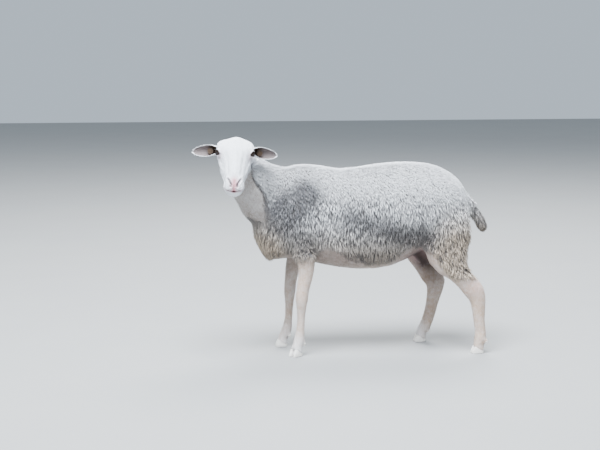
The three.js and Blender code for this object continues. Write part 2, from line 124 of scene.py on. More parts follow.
# The fold of skin where the fleece of the neck ends at the throat, on the left side, painted dark as the
# shadow under the fleece's edge.
NECK_EDGE = [
    (-0.345, -0.051, 0.749), (-0.354, -0.059, 0.737), (-0.355, -0.063, 0.700),
    (-0.349, -0.063, 0.679), (-0.338, -0.058, 0.660), (-0.319, -0.052, 0.637),
    (-0.307, -0.046, 0.619), (-0.304, -0.042, 0.592), (-0.286, -0.035, 0.546),
]

# Each foot: its middle and the way its toes point, in degrees from straight ahead.
FEET = {
    "foreleg_left": (-0.193, -0.078, 38),
    "foreleg_right": (-0.231, 0.110, 0),
    "hindleg_left": (0.510, -0.092, 6),
    "hindleg_right": (0.327, 0.147, 4),
}
CLAW_HEIGHT = 0.030

# Dull patches of the coat, along the body and upwards.
SHOULDER_PATH = [(-0.155, 0.618), (-0.200, 0.588), (-0.238, 0.535)]
FLANK_PATH = [(0.02, 0.545), (0.16, 0.500), (0.31, 0.455)]
# Smaller dull spots, on both sides of the body: how dull, their middle and their reach.
DULL_SPOTS = [
    (0.75, (-0.150, 0.440), (0.045, 0.05)),  # elbow
    (0.7, (-0.03, 0.365), (0.11, 0.04)),  # belly
    (0.4, (0.445, 0.335), (0.05, 0.05)),  # hock
    # The brisket spot is painted shade between the forelegs.
    (0.6, (-0.235, 0.340), (0.06, 0.03)),  # brisket
]
# Painted shade in the shelter of the right legs: how dark, their middle and their reach.
SHELTER_SHADE_SPOTS = [
    (0.5, (-0.235, 0.090, 0.310), (0.06, 0.06, 0.05)),  # armpit
    (0.2, (0.390, 0.110, 0.290), (0.07, 0.06, 0.08)),  # inside of the thigh
]
UDDER_SPOT = ((0.338, MIDDLE_Y - 0.004, 0.36), (0.12, 0.11, 0.11))
# Painted shade in the hollow between the udder and the right thigh.
GROIN_SHADE_PATH = [
    (0.283, 0.010, 0.368), (0.318, 0.020, 0.342), (0.345, 0.100, 0.312), (0.372, 0.115, 0.270),
]

# Lines of the face, in the head's own frame. Those that leave its middle are mirrored.
MOUTH_PATH = [
    (0, -268, -48.5), (10, -267, -48), (20, -264.5, -47.5),
    (28, -254, -51), (34, -240, -56), (37, -222, -61),
]
NOSTRIL_PATH = [(25, -229, -23), (17.5, -241, -23.5), (12, -251, -28), (12.5, -255.5, -33)]
PHILTRUM_PATH = [(0, -240, -18), (0, -256, -30), (0, -267, -46)]
LIP_MIDDLE = (0, -268, -46)
BRIDGE_PATH = [(0, -100, 2), (0, -212, -8)]
NOSE_SIDE_PATH = [(34, -118, -22), (30, -205, -28)]
# Gentle forms on both sides of the face: how far they stand out, their width and their path.
FACE_FORMS = [
    (-2.2, 4.0, [(58, -112, -38), (52, -132, -44)]),  # tear groove
    (3.2, 8.5, [(56, -100, -56), (50, -140, -52), (42, -180, -46)]),  # cheek crest
    (-1.8, 6.0, [(38, -212, -40), (38, -216, -74)]),  # behind the lips
    (-4.6, 9.0, [(29, -118, -12), (26, -205, -20)]),  # beside the bridge
    (-2.6, 9.0, [(52, -70, -16), (50, -58, -26)]),  # temple
    (1.2, 8.0, [(10, -260, -72), (20, -252, -76)]),  # chin
]

# Colours that change only with the markings of the skin.
# Painted shade in the nostrils, the mouth line, round the eye openings, along the neck's fold and in the
# groin.
HOLLOW_SHADE_COLOUR = (0.016, 0.008, 0.0065, 1)
# Painted shade in the ears' troughs, and deeper shade towards their roots.
EAR_TROUGH_SHADE_COLOUR = (0.085, 0.055, 0.048, 1)
EAR_DEEP_SHADE_COLOUR = (0.035, 0.017, 0.008, 1)
# Soiling and painted shade on the warm wool low on the body.
WARM_SOIL_AND_SHADE_COLOUR = (0.100, 0.082, 0.069, 1)
PINK_LOCK_COLOUR = (0.66, 0.33, 0.35, 1)


# ---------------------------------------------------------------- settings


class EweSkinSettings(bpy.types.PropertyGroup):
    """Sizes and colours of the skin and its short hair."""

    cell: FloatProperty(
        name="Cell", description="Edge of the skin's faces on the body", default=0.0076, unit="LENGTH"
    )
    hair: FloatVectorProperty(
        name="Hair", description="Short white hair", default=(0.82, 0.84, 0.88), subtype="COLOR"
    )
    cream: FloatVectorProperty(
        name="Cream", description="Hair of the legs", default=(0.58, 0.425, 0.325), subtype="COLOR"
    )
    # The dull hair colour is soiling, and painted shade on the undersides, in the shelter of the legs and
    # beside the nose.
    dull: FloatVectorProperty(
        name="Dull hair", description="Soiled short hair", default=(0.40, 0.355, 0.32), subtype="COLOR"
    )
    # Painted shade deep between the hairs.
    hair_root: FloatVectorProperty(
        name="Hair root", description="Depths between hairs", default=(0.72, 0.68, 0.64), subtype="COLOR"
    )
    hairs: IntProperty(name="Hairs", description="Hairs on a square metre of the body", default=42000)
    face_hairs: IntProperty(
        name="Face hairs", description="Further hairs on a square metre of the face", default=56000
    )
    pink: FloatVectorProperty(
        name="Pink", description="Bare nose and lids", default=(0.57, 0.225, 0.26), subtype="COLOR"
    )
    # The soiled colour is soiling, and painted shade on the undersides, in the shelter of the legs and
    # beside the nose.
    soiled: FloatVectorProperty(
        name="Soiled", description="Dull throat and belly", default=(0.20, 0.165, 0.14), subtype="COLOR"
    )
    # Painted shade on the skin deep under the fleece.
    under: FloatVectorProperty(
        name="Under wool", description="Skin under the fleece", default=(0.20, 0.18, 0.17), subtype="COLOR"
    )


class EweFleeceSettings(bpy.types.PropertyGroup):
    """Sizes and colours of the fleece."""

    depth: FloatProperty(name="Depth", description="Depth of the fleece", default=0.017, unit="LENGTH")
    locks: IntProperty(name="Locks", description="Number of locks", default=74000)
    staples: IntProperty(name="Staples", description="Number of staples of locks", default=18000)
    length: FloatProperty(
        name="Length", description="Length of a coarse lock", default=0.030, unit="LENGTH"
    )
    half: FloatProperty(
        name="Half width", description="Half the width of a coarse lock", default=0.0017, unit="LENGTH"
    )
    light: FloatVectorProperty(
        name="Light", description="Tips of the locks", default=(0.86, 0.885, 0.93), subtype="COLOR"
    )
    warm: FloatVectorProperty(
        name="Warm", description="Locks low on the body", default=(0.66, 0.53, 0.40), subtype="COLOR"
    )
    # The grey locks are soiling, and painted shade low on the body and in its shelter.
    grey: FloatVectorProperty(
        name="Grey", description="Soiled locks", default=(0.062, 0.062, 0.074), subtype="COLOR"
    )
    # Painted shade deep between the locks.
    root: FloatVectorProperty(
        name="Root", description="Depths between locks", default=(0.10, 0.092, 0.09), subtype="COLOR"
    )


class EweStageSettings(bpy.types.PropertyGroup):
    """Where the camera stands and looks."""

    camera: FloatVectorProperty(
        name="Camera", description="Place of the camera", default=(-0.80773, -6.08999, 1.35), unit="LENGTH"
    )
    lens: FloatProperty(name="Lens", description="Focal length in millimetres", default=96.72)
    azimuth: FloatProperty(
        name="Azimuth", description="Turn round the ewe", default=math.radians(-6.0), subtype="ANGLE"
    )
    pitch: FloatProperty(
        name="Pitch", description="How far it looks down", default=math.radians(7.94), subtype="ANGLE"
    )


# ---------------------------------------------------------------- small tools


def ramp(low, high, value):
    """0 below low, 1 above high and a smooth rise between."""
    share = np.clip((value - low) / (high - low), 0, 1)
    return share * share * (3 - 2 * share)


def unit(vectors):
    """Vectors made one long."""
    return vectors / np.maximum(np.linalg.norm(vectors, axis=-1, keepdims=True), 1e-9)


def bell(distance, width):
    """1 at no distance, falling smoothly to 0 over a few widths."""
    return np.exp(-((distance / width) ** 2))


def along_table(value, rows, column):
    """A column of a table, read between its rows at a value of its first column."""
    table = np.array(rows, float)
    return np.interp(value, table[:, 0], table[:, column])


def head_matrix(pitch=HEAD_PITCH):
    """Takes millimetres in the head's own frame to metres on the ewe."""
    turn = Matrix.Rotation(math.radians(HEAD_YAW), 4, "Z")
    turn = turn @ Matrix.Rotation(math.radians(HEAD_ROLL), 4, "Y")
    turn = turn @ Matrix.Rotation(math.radians(pitch), 4, "X")
    return Matrix.Translation(HEAD_AT) @ turn @ Matrix.Scale(MM, 4)


def ear_matrix(side):
    """The same for an ear, where x runs to its tip and its trough opens towards -y."""
    back, droop, face = (math.radians(angle) for angle in EAR_TURN)
    place = Matrix.Translation((side * EAR_ROOT[0], EAR_ROOT[1], EAR_ROOT[2]))
    place = place @ Matrix.Diagonal((side, 1, 1, 1))
    turn = Matrix.Rotation(back, 4, "Z") @ Matrix.Rotation(droop, 4, "Y") @ Matrix.Rotation(face, 4, "X")
    return head_matrix(0) @ place @ turn


def moved(points, matrix):
    """Points taken through a matrix."""
    grid = np.array(matrix)
    return points @ grid[:3, :3].T + grid[:3, 3]


HASH_STEPS = np.array((73856093, 19349663, 83492791))


def noise(points, size, seed):
    """Smooth random values from -1 to 1 that change over about size metres, from a hash of each cell."""
    cells = points / size + 137.0 * seed
    corner = np.floor(cells).astype(np.int64)
    share = cells - corner
    share = share * share * (3 - 2 * share)
    total = 0
    for step in np.ndindex(2, 2, 2):
        x, y, z = (corner + step).T * HASH_STEPS[:, None]
        mixed = x ^ y ^ z ^ (seed * 2654435)
        mixed = (mixed ^ (mixed >> 13)) * 1274126177 & 0x7FFFFFFF
        value = (mixed ^ (mixed >> 16)) % 65536 / 32767.5 - 1
        total = total + value * np.prod(np.where(step, share, 1 - share), axis=1)
    return total


def read_array(items, name, width, kind):
    """A numpy table of one property of a mesh's vertices, edges, corners or triangles."""
    values = np.empty(len(items) * width, kind)
    items.foreach_get(name, values)
    return values.reshape(-1, width)


def vertex_array(mesh, name="co"):
    return read_array(mesh.vertices, name, 3, np.float32).astype(float)


def set_places(mesh, points):
    mesh.vertices.foreach_set("co", points.astype(np.float32).ravel())
    mesh.update()


def edge_array(mesh):
    return read_array(mesh.edges, "vertices", 2, np.int32)


def smoothed(values, edges, rounds, share=0.5):
    """Each value drawn towards the mean of its neighbours."""
    count = np.maximum(np.bincount(edges.ravel(), minlength=len(values)), 1)
    for _ in range(rounds):
        mean = np.stack(
            [
                np.bincount(edges[:, 0], column[edges[:, 1]], len(values))
                + np.bincount(edges[:, 1], column[edges[:, 0]], len(values))
                for column in values.T
            ],
            axis=1,
        )
        values = values + share * (mean / count[:, None] - values)
    return values


def new_object(name, mesh):
    made = bpy.data.objects.new(name, mesh)
    bpy.context.scene.collection.objects.link(made)
    return made


def mesh_of(bm, name):
    mesh = bpy.data.meshes.new(name)
    bm.to_mesh(mesh)
    bm.free()
    return mesh


def finished_mesh(made):
    """The object's mesh with its modifiers applied. The object is removed."""
    graph = bpy.context.evaluated_depsgraph_get()
    mesh = bpy.data.meshes.new_from_object(made.evaluated_get(graph))
    bpy.data.objects.remove(made)
    return mesh


def float_attribute(mesh, name, values):
    attribute = mesh.attributes.get(name) or mesh.attributes.new(name, "FLOAT", "POINT")
    attribute.data.foreach_set("value", np.asarray(values, np.float32))


def read_attribute(mesh, name):
    values = np.empty(len(mesh.vertices), np.float32)
    mesh.attributes[name].data.foreach_get("value", values)
    return values.astype(float)


def merged_copy(names, grow=0.0):
    """One bmesh of CAD nodes with their loose triangles joined, grown along their normals."""
    bm = bmesh.new()
    for name in names:
        bm.from_mesh(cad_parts[name].data)
    bmesh.ops.remove_doubles(bm, verts=bm.verts, dist=5e-5)
    bm.normal_update()
    for vert in bm.verts:
        vert.co += vert.normal * grow
    return bm


def remeshed(bm, name, cell, rounds):
    """The outside of a bmesh as even quads with its facets smoothed away."""
    made = new_object(name, mesh_of(bm, name))
    remesh = made.modifiers.new("even faces", "REMESH")
    remesh.mode = "VOXEL"
    remesh.voxel_size = cell
    mesh = finished_mesh(made)
    set_places(mesh, smoothed(vertex_array(mesh), edge_array(mesh), rounds))
    return mesh


def drawn_back(mesh, names, top=10.0):
    """Brings back the body's true outline, below a height, where the smoothing has shrunk it."""
    bm = merged_copy(names)
    tree = BVHTree.FromBMesh(bm)
    bm.free()
    points = vertex_array(mesh)
    normals = vertex_array(mesh, "normal")
    nearest = np.array([tree.find_nearest(Vector(point))[0] for point in points])
    short = np.clip(((nearest - points) * normals).sum(axis=1), -0.006, 0.006)
    short = short * (1 - ramp(top - 0.06, top, points[:, 2]))
    short = smoothed(short[:, None], edge_array(mesh), 10)
    set_places(mesh, points + normals * short)


def finish_piece(made, material, replaced=()):
    """Gives a piece its material, its body and the CAD nodes that it stands for."""
    made.data.materials.clear()
    made.data.materials.append(material)
    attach(made, "root")
    if replaced:
        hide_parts(*replaced)


# ---------------------------------------------------------------- materials


def node(tree, kind, inputs=None, **settings):
    """A new shader node. inputs maps a socket's name or number to a value or to another node's output."""
    made = tree.nodes.new(f"ShaderNode{kind}")
    for name, value in settings.items():
        setattr(made, name, value)
    for socket, value in (inputs or {}).items():
        if isinstance(value, bpy.types.NodeSocket):
            tree.links.new(value, made.inputs[socket])
        else:
            made.inputs[socket].default_value = value
    return made


def blend(tree, share, first, second, kind="MIX"):
    """A mix of two colours."""
    inputs = {0: share, 6: first, 7: second}
    return node(tree, "Mix", inputs, data_type="RGBA", blend_type=kind).outputs[2]


def sums(tree, kind, first, second):
    return node(tree, "Math", {0: first, 1: second}, operation=kind).outputs[0]


def stretch(tree, value, low, high, to_low=0.0, to_high=1.0):
    inputs = {"Value": value, "From Min": low, "From Max": high, "To Min": to_low, "To Max": to_high}
    return node(tree, "MapRange", inputs).outputs[0]


def places(tree, scale=(1, 1, 1), turn=(0, 0, 0)):
    """The object's own coordinates, turned and then scaled."""
    spot = node(tree, "TexCoord").outputs["Object"]
    turned = node(tree, "Mapping", {"Vector": spot, "Rotation": turn}).outputs[0]
    return node(tree, "Mapping", {"Vector": turned, "Scale": scale}).outputs[0]


def mottle(tree, vector, scale, detail=3.0, rough=0.6):
    inputs = {"Vector": vector, "Scale": scale, "Detail": detail, "Roughness": rough}
    return node(tree, "TexNoise", inputs).outputs["Fac"]


def marking(tree, name):
    """One of the masks that the skin and the locks carry."""
    return node(tree, "Attribute", attribute_name=name).outputs["Fac"]


def mixed_values(tree, share, first, second):
    return node(tree, "Mix", {0: share, 2: first, 3: second}).outputs[0]


def opaque(colour):
    return (*colour, 1.0)


def group_tree(name, inputs, outputs):
    """An empty node group with its sockets, its input node and its output node."""
    tree = bpy.data.node_groups.new(name, "ShaderNodeTree")
    for label, kind, value in inputs:
        socket = tree.interface.new_socket(label, in_out="INPUT", socket_type=f"NodeSocket{kind}")
        if value is not None:
            socket.default_value = value
    for label, kind in outputs:
        tree.interface.new_socket(label, in_out="OUTPUT", socket_type=f"NodeSocket{kind}")
    return tree, tree.nodes.new("NodeGroupInput").outputs, tree.nodes.new("NodeGroupOutput").inputs


def hair_lines_group():
    """Fine hairs that lie along Z of the vector: a shade to colour them and a height to raise them."""
    inputs = [("Vector", "Vector", None), ("Across", "Float", 900.0), ("Lie", "Float", 90.0)]
    tree, given, result = group_tree("hair lines", inputs, [("Shade", "Float"), ("Height", "Float")])
    across = given["Across"]
    scale = node(tree, "CombineXYZ", {0: across, 1: across, 2: given["Lie"]}).outputs[0]
    inputs = {0: given["Vector"], 1: scale}
    vector = node(tree, "VectorMath", inputs, operation="MULTIPLY").outputs[0]
    fine = mottle(tree, vector, 1.0, 2.0, 0.5)
    coarse = mottle(tree, vector, 0.22, 2.0, 0.5)
    both = sums(tree, "ADD", sums(tree, "MULTIPLY", fine, 0.55), sums(tree, "MULTIPLY", coarse, 0.45))
    tree.links.new(both, result["Height"])
    tree.links.new(stretch(tree, both, 0.35, 0.65), result["Shade"])
    return tree


def soil_group():
    """Uneven soiling: a mask that is high in blotches of two sizes."""
    inputs = [("Vector", "Vector", None), ("Size", "Float", 12.0)]
    tree, given, result = group_tree("soiling", inputs, [("Mask", "Float")])
    wide = mottle(tree, given["Vector"], given["Size"], 4.0, 0.65)
    small = mottle(tree, given["Vector"], sums(tree, "MULTIPLY", given["Size"], 9.0), 3.0, 0.6)
    both = sums(tree, "ADD", sums(tree, "MULTIPLY", wide, 0.6), sums(tree, "MULTIPLY", small, 0.4))
    tree.links.new(stretch(tree, both, 0.38, 0.66), result["Mask"])
    return tree


def placed_group(tree, name, inputs):
    """A shared group in a material, made the first time that it is asked for. Returns its outputs."""
    makers = {"hair lines": hair_lines_group, "soiling": soil_group}
    shared = bpy.data.node_groups.get(name) or makers[name]()
    return node(tree, "Group", inputs, node_tree=shared).outputs


def new_material(name, **constants):
    """A material's tree and its shader, with the constants set on the shader's own sockets."""
    material = bpy.data.materials.new(name)
    material.use_nodes = True
    shader = material.node_tree.nodes["Principled BSDF"]
    for socket, value in constants.items():
        shader.inputs[socket.replace("_", " ")].default_value = value
    return material, material.node_tree, shader


def raise_surface(tree, shader, height, strength, distance):
    inputs = {"Height": height, "Strength": strength, "Distance": distance}
    tree.links.new(node(tree, "Bump", inputs).outputs[0], shader.inputs["Normal"])


def skin_material(settings):
    """White short hair over pink skin, cream on the legs, painted shade grey under the wool."""
    material, tree, shader = new_material("skin", Specular_IOR_Level=0.25)
    along_face = places(tree, turn=(math.radians(90 - HEAD_PITCH), 0, 0))
    face_lines = placed_group(tree, "hair lines", {"Vector": along_face, "Lie": 110.0})
    body_lines = placed_group(tree, "hair lines", {"Vector": places(tree), "Lie": 80.0})
    face = marking(tree, "face")
    shade = mixed_values(tree, face, body_lines["Shade"], face_lines["Shade"])
    height = mixed_values(tree, face, body_lines["Height"], face_lines["Height"])
    soil = placed_group(tree, "soiling", {"Vector": places(tree), "Size": 9.0})["Mask"]
    warm = sums(tree, "MULTIPLY", marking(tree, "warm"), stretch(tree, soil, 0, 1, 0.55, 1.2))
    colour = blend(tree, warm, opaque(settings.hair), opaque(settings.cream))
    # The grey mark carries soiling, and painted shade on the undersides, in the shelter of the legs and
    # beside the nose.
    darkening = sums(tree, "MULTIPLY", marking(tree, "grey"), stretch(tree, soil, 0, 1, 0.55, 1.0))
    colour = blend(tree, darkening, colour, opaque(settings.soiled))
    colour = blend(tree, marking(tree, "pink"), colour, opaque(settings.pink))
    # Painted shade in the hollows of the face, round the eyes, along the neck's fold and in the groin.
    colour = blend(tree, marking(tree, "dark"), colour, HOLLOW_SHADE_COLOUR)
    # Painted shade in the ear's trough, darkest near its root.
    trough = marking(tree, "inside")
    colour = blend(tree, stretch(tree, trough, 0.0, 0.4, 0.0, 0.9), colour, EAR_TROUGH_SHADE_COLOUR)
    colour = blend(tree, stretch(tree, trough, 0.42, 0.85, 0.0, 0.97), colour, EAR_DEEP_SHADE_COLOUR)
    grey = stretch(tree, shade, 0, 1, 0.80, 1.0)
    shadow = node(tree, "CombineColor", {0: grey, 1: grey, 2: grey}).outputs[0]
    colour = blend(tree, 1.0, colour, shadow, "MULTIPLY")
    # Painted shade on the skin deep under the fleece.
    colour = blend(tree, marking(tree, "cover"), colour, opaque(settings.under))
    tree.links.new(colour, shader.inputs["Base Color"])
    wet = sums(tree, "MULTIPLY", marking(tree, "pink"), 0.35)
    tree.links.new(sums(tree, "SUBTRACT", 0.85, wet), shader.inputs["Roughness"])
    raise_surface(tree, shader, height, 0.55, 0.0016)
    return material


def coat_material(name, light, warm, grey, root):
    """Locks painted dark towards the root, as the shade deep in the coat, and pale at the tip, with the
    same markings as the skin.
    """
    material, tree, shader = new_material(name, Roughness=0.9, Specular_IOR_Level=0.12, Sheen_Weight=0.15)
    soil = placed_group(tree, "soiling", {"Vector": places(tree), "Size": 16.0})["Mask"]
    colour = blend(tree, marking(tree, "warm"), opaque(light), opaque(warm))
    # The grey mark is soiling and painted shade.
    darkening = sums(tree, "MULTIPLY", marking(tree, "grey"), stretch(tree, soil, 0, 1, 0.75, 1.0))
    soiled = blend(tree, marking(tree, "warm"), opaque(grey), WARM_SOIL_AND_SHADE_COLOUR)
    colour = blend(tree, darkening, colour, soiled)
    colour = blend(tree, sums(tree, "MULTIPLY", marking(tree, "pink"), 0.9), colour, PINK_LOCK_COLOUR)
    # Painted shade towards each lock's root and on locks at the edges of their staples.
    colour = blend(tree, marking(tree, "unshaded"), opaque(root), colour)
    tree.links.new(colour, shader.inputs["Base Color"])
    lines = placed_group(tree, "hair lines", {"Vector": places(tree), "Across": 1100.0, "Lie": 160.0})
    raise_surface(tree, shader, lines["Height"], 0.5, 0.001)
    return material


# ---------------------------------------------------------------- where the coat is


def nearest_distance(names, points):
    """Distance from each point to the surface of some CAD nodes."""
    bm = merged_copy(names)
    tree = BVHTree.FromBMesh(bm)
    bm.free()
    return np.array([tree.find_nearest(Vector(point))[3] for point in points])


def face_share(points):
    """1 on the head and its ears, falling to 0 a little way down the neck."""
    share = np.zeros(len(points))
    near = (points[:, 0] < -0.2) & (points[:, 2] > 0.58)
    distance = nearest_distance(["head", "lower_jaw", *EAR_NODES], points[near])
    share[near] = 1 - ramp(0.006, 0.03, distance)
    return share


def throat_share(points):
    """1 on the bare front of the neck."""
    height = points[:, 2]
    middle = np.stack([along_table(height, THROAT, 1), along_table(height, THROAT, 2)], axis=1)
    facing = along_table(height, THROAT, 3)
    reach = along_table(height, THROAT, 4)
    away = points[:, :2] - middle
    angle = np.degrees(np.arctan2(away[:, 1], away[:, 0]))
    turned = np.abs((angle - facing + 180) % 360 - 180) + 2.5 * noise(points, 0.03, 3)
    above = ramp(0.475, 0.545, height + 0.012 * noise(points, 0.014, 4))
    return above * np.where(points[:, 0] < NECK_BASE_X, 1 - ramp(-4, 0, turned - reach), 0)


def wool_share(points, normals, face):
    """1 where the fleece grows, 0 on the bare face, throat, belly and legs."""
    height = points[:, 2]
    side = np.sign(points[:, 1] - MIDDLE_Y)
    right_thigh = (side > 0) & (points[:, 0] > 0.2)
    shift = np.where(right_thigh, 0.04, 0.0)
    hem = along_table(points[:, 0] + shift, FLEECE_HEM, 1) + 0.010 * noise(points, 0.022, 5)
    share = ramp(-0.008, 0.024, height - hem)
    inner = ramp(0.0, 0.35, -side * normals[:, 1]) * (1 - ramp(0.42, 0.47, height))
    belly = ramp(0.55, 0.85, -normals[:, 2]) * (1 - ramp(0.40, 0.44, height))
    front = ramp(0.24, 0.28, -points[:, 0])
    share = share * (1 - inner * (1 - front)) * (1 - belly * (1 - 0.8 * front))
    udder = ramp(0.75, 1.0, blob(points, *UDDER_SPOT) + 0.35)
    return share * (1 - throat_share(points)) * (1 - face) * (1 - udder)


def coat_depth(points, cover):
    """How far the skin lies under the tips of the coat."""
    settings = bpy.context.scene.ewe_fleece
    high = ramp(0.60, 0.72, points[:, 2])
    tail = ramp(0.50, 0.53, points[:, 0])
    depth = settings.depth * (1 - 0.3 * high) * (1 - 0.6 * tail)
    return 0.0008 + cover * depth


def horn_top(points, leg):
    """Height of the top edge of the horn, lower at the heel than at the toe."""
    x, y, heading = FEET[leg]
    angle = math.radians(heading)
    ahead = -(points[:, 0] - x) * math.cos(angle) - (points[:, 1] - y) * math.sin(angle)
    return 0.012 + 0.017 * ramp(-0.020, 0.016, ahead)


def horn_depth(points):
    """How far the skin draws back inside the claws and the tips of the dewclaws."""
    depth = -0.0006 * (1 - ramp(0.04, 0.08, points[:, 2]))
    for leg, (x, y, _) in FEET.items():
        near = np.hypot(points[:, 0] - x, points[:, 1] - y) < 0.07
        edge = horn_top(points, leg)
        depth += 0.0042 * near * (1 - ramp(-0.003, 0.002, points[:, 2] - edge))
    for name in HORN_NODES:
        if "dewclaw" in name:
            low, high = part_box(name)
            tip = np.array([(low.x + high.x) / 2, (low.y + high.y) / 2, low.z])
            depth += 0.004 * bell(np.linalg.norm(points - tip, axis=1), 0.008)
    return depth


def blob(points, centre, radii):
    """A soft round mask."""
    away = (points - np.array(centre)) / np.array(radii)
    return np.exp(-np.sum(away * away, axis=1))


def line_distance(points, path):
    """Distance from each point to a path of straight lengths."""
    best = np.full(len(points), np.inf)
    for start, end in zip(path[:-1], path[1:]):
        step = np.array(end, float) - start
        share = np.clip((points - start) @ step / (step @ step), 0, 1)
        best = np.minimum(best, np.linalg.norm(points - start - share[:, None] * step, axis=1))
    return best


def soil_and_shade_share(points, normals):
    """The dull shoulder, the band along the flank and the throat, darker low on the neck and on the tail,
    and painted shade low on the body, on the undersides, in the armpit, inside the far thigh, between the
    forelegs and on the sheltered sides of the legs.
    """
    x, height = points[:, 0], points[:, 2]
    flat = points[:, (0, 2)]
    shoulder = bell(line_distance(flat, SHOULDER_PATH), 0.058)
    flank = bell(line_distance(flat, FLANK_PATH), 0.048)
    right = ramp(0.0, 0.06, points[:, 1] - MIDDLE_Y)
    patches = (1.5 * shoulder + 0.88 * flank) * (1 - 0.55 * right)
    front = ramp(0.20, 0.26, -x)
    # Painted shade low on the body.
    low = (1 - ramp(0.40, 0.56, height)) * (0.38 - 0.26 * front) * ramp(0.32, 0.40, height)
    neck = 0.30 * front * ramp(0.48, 0.56, height) * (1 - ramp(0.70, 0.76, height))
    tail = 0.55 * ramp(0.50, 0.53, x) * ramp(0.36, 0.40, height)
    spots = sum(dull * blob(flat, middle, reach) for dull, middle, reach in DULL_SPOTS)
    hidden = sum(dull * blob(points, middle, reach) for dull, middle, reach in SHELTER_SHADE_SPOTS)
    # Painted shade on the sides of the legs that face the body and on surfaces that face down.
    inward = -np.sign(points[:, 1] - MIDDLE_Y) * normals[:, 1]
    sheltered = ramp(0.1, 0.7, inward) * (1 - ramp(0.36, 0.42, height)) * ramp(0.0, 0.12, height)
    under = ramp(0.3, 0.8, -normals[:, 2]) * ramp(0.28, 0.34, height)
    spots = spots + hidden + 0.55 * throat_share(points)
    return np.clip(patches + low + neck + tail + spots + 0.5 * np.maximum(sheltered, under), 0, 1)


def warm_share(points):
    """Cream low on the body, on the rump and on the legs."""
    x, height = points[:, 0], points[:, 2]
    low = 1 - ramp(0.36, 0.56, height)
    rump = ramp(0.30, 0.42, x) * (1 - ramp(0.46, 0.62, height))
    chest = ramp(0.20, 0.30, -x) * (1 - ramp(0.46, 0.58, height))
    feet = 1 - ramp(0.02, 0.12, height)
    warm = 0.15 + 0.75 * low + 0.5 * rump + 0.45 * chest + 0.2 * throat_share(points)
    return np.clip(warm - 0.5 * feet, 0, 1)


def groin_shade_share(points):
    """Painted shade in the hollow between the far thigh and the belly."""
    hollow = bell(line_distance(points, GROIN_SHADE_PATH), 0.064)
    return hollow * (0.97 - 0.4 * ramp(0.325, 0.27, points[:, 2]))


# ---------------------------------------------------------------- skin


def eye_axes(side):
    """The way an eye looks, its long axis and its upward axis, in the head's frame."""
    look = unit(np.array(EYE_LOOK) * (side, 1, 1))
    long = np.array(EYE_LONG) * (side, 1, 1)
    long = unit(long - look * (long @ look))
    upward = np.cross(look, long) * side
    return look, long, upward if upward[2] > 0 else -upward


def lid_places(points, side):
    """Skin closed over the eyeball as two lids round an almond opening, in millimetres.

    Returns the moved points and masks of the opening and of the opening with its rim."""
    centre = np.array(EYE_AT) * (side, 1, 1)
    look, long, upward = eye_axes(side)
    away = points - centre
    along, rise = away @ long, away @ upward
    from_middle = np.hypot(along, rise)
    ahead = away @ look
    half_long = np.where(along > 0, *LID_REACH)
    end = np.abs(along) / half_long
    half_tall = np.where(rise > 0, *LID_RISE) * np.clip(1 - end**1.7, 0.02, 1)
    edge = np.maximum(np.abs(rise) / half_tall, end)
    fold = 1.1 * bell(edge - 2.0, 0.22) * (rise > 0)
    lid = EYE_RADIUS + 1.7 + 0.9 * bell(edge - 1.35, 0.25) - fold
    opened = edge < 1
    radius = np.linalg.norm(away, axis=1)
    target = np.where(opened, EYE_RADIUS - 3.5, lid)
    share = np.where(opened, 1.0, 1 - ramp(12.0, 22.0, from_middle))
    new_radius = radius + (target - radius) * share
    result = centre + unit(away) * new_radius[:, None]
    near = (from_middle < 26) & (ahead > -10)
    over_eye = near & (ahead > 0)
    return np.where(over_eye[:, None], result, points), over_eye & opened, near & (edge < 1.3)


def mirrored_path(path, side):
    return [(side * x, y, z) for x, y, z in path]


def on_both_sides(points, path, width):
    """A soft band along a path on the face and along its mirror image."""
    return sum(bell(line_distance(points, mirrored_path(path, side)), width) for side in SIDES.values())


def face_cuts(points):
    """How far each point of the face sinks along its normal, in millimetres, and how dark it is painted:
    shade in the nostrils, along the mouth and under the middle of the lip.
    """
    sunk = np.zeros(len(points))
    dark = np.zeros(len(points))
    for side in SIDES.values():
        slit = line_distance(points, mirrored_path(NOSTRIL_PATH, side))
        sunk += 8.0 * bell(slit, 3.2) - 1.8 * bell(slit - 7.5, 2.8)
        dark += 0.8 * bell(slit, 3.4)
        mouth = line_distance(points, mirrored_path(MOUTH_PATH, side))
        sunk += 3.2 * bell(mouth, 2.2) - 1.0 * bell(mouth - 5.5, 2.6)
        dark += 0.8 * bell(mouth, 2.6)
    sunk += 2.2 * bell(line_distance(points, PHILTRUM_PATH), 1.8)
    dark += 0.7 * bell(np.linalg.norm(points - LIP_MIDDLE, axis=1), 6.0)
    return sunk, np.clip(dark, 0, 1)


def face_folds(points):
    """Gentle form of the face along its normal, in millimetres, positive outwards."""
    form = 3.2 * bell(line_distance(points, BRIDGE_PATH), 9.5)
    for height, width, path in FACE_FORMS:
        form += height * on_both_sides(points, path, width)
    return form


def face_shade(points):
    """Painted shade down each side of the nose and under the chin, as a share."""
    chin = blob(points, (0, -250, -96), (30, 30, 16))
    return 0.07 * chin + 0.06 * on_both_sides(points, NOSE_SIDE_PATH, 9.0)


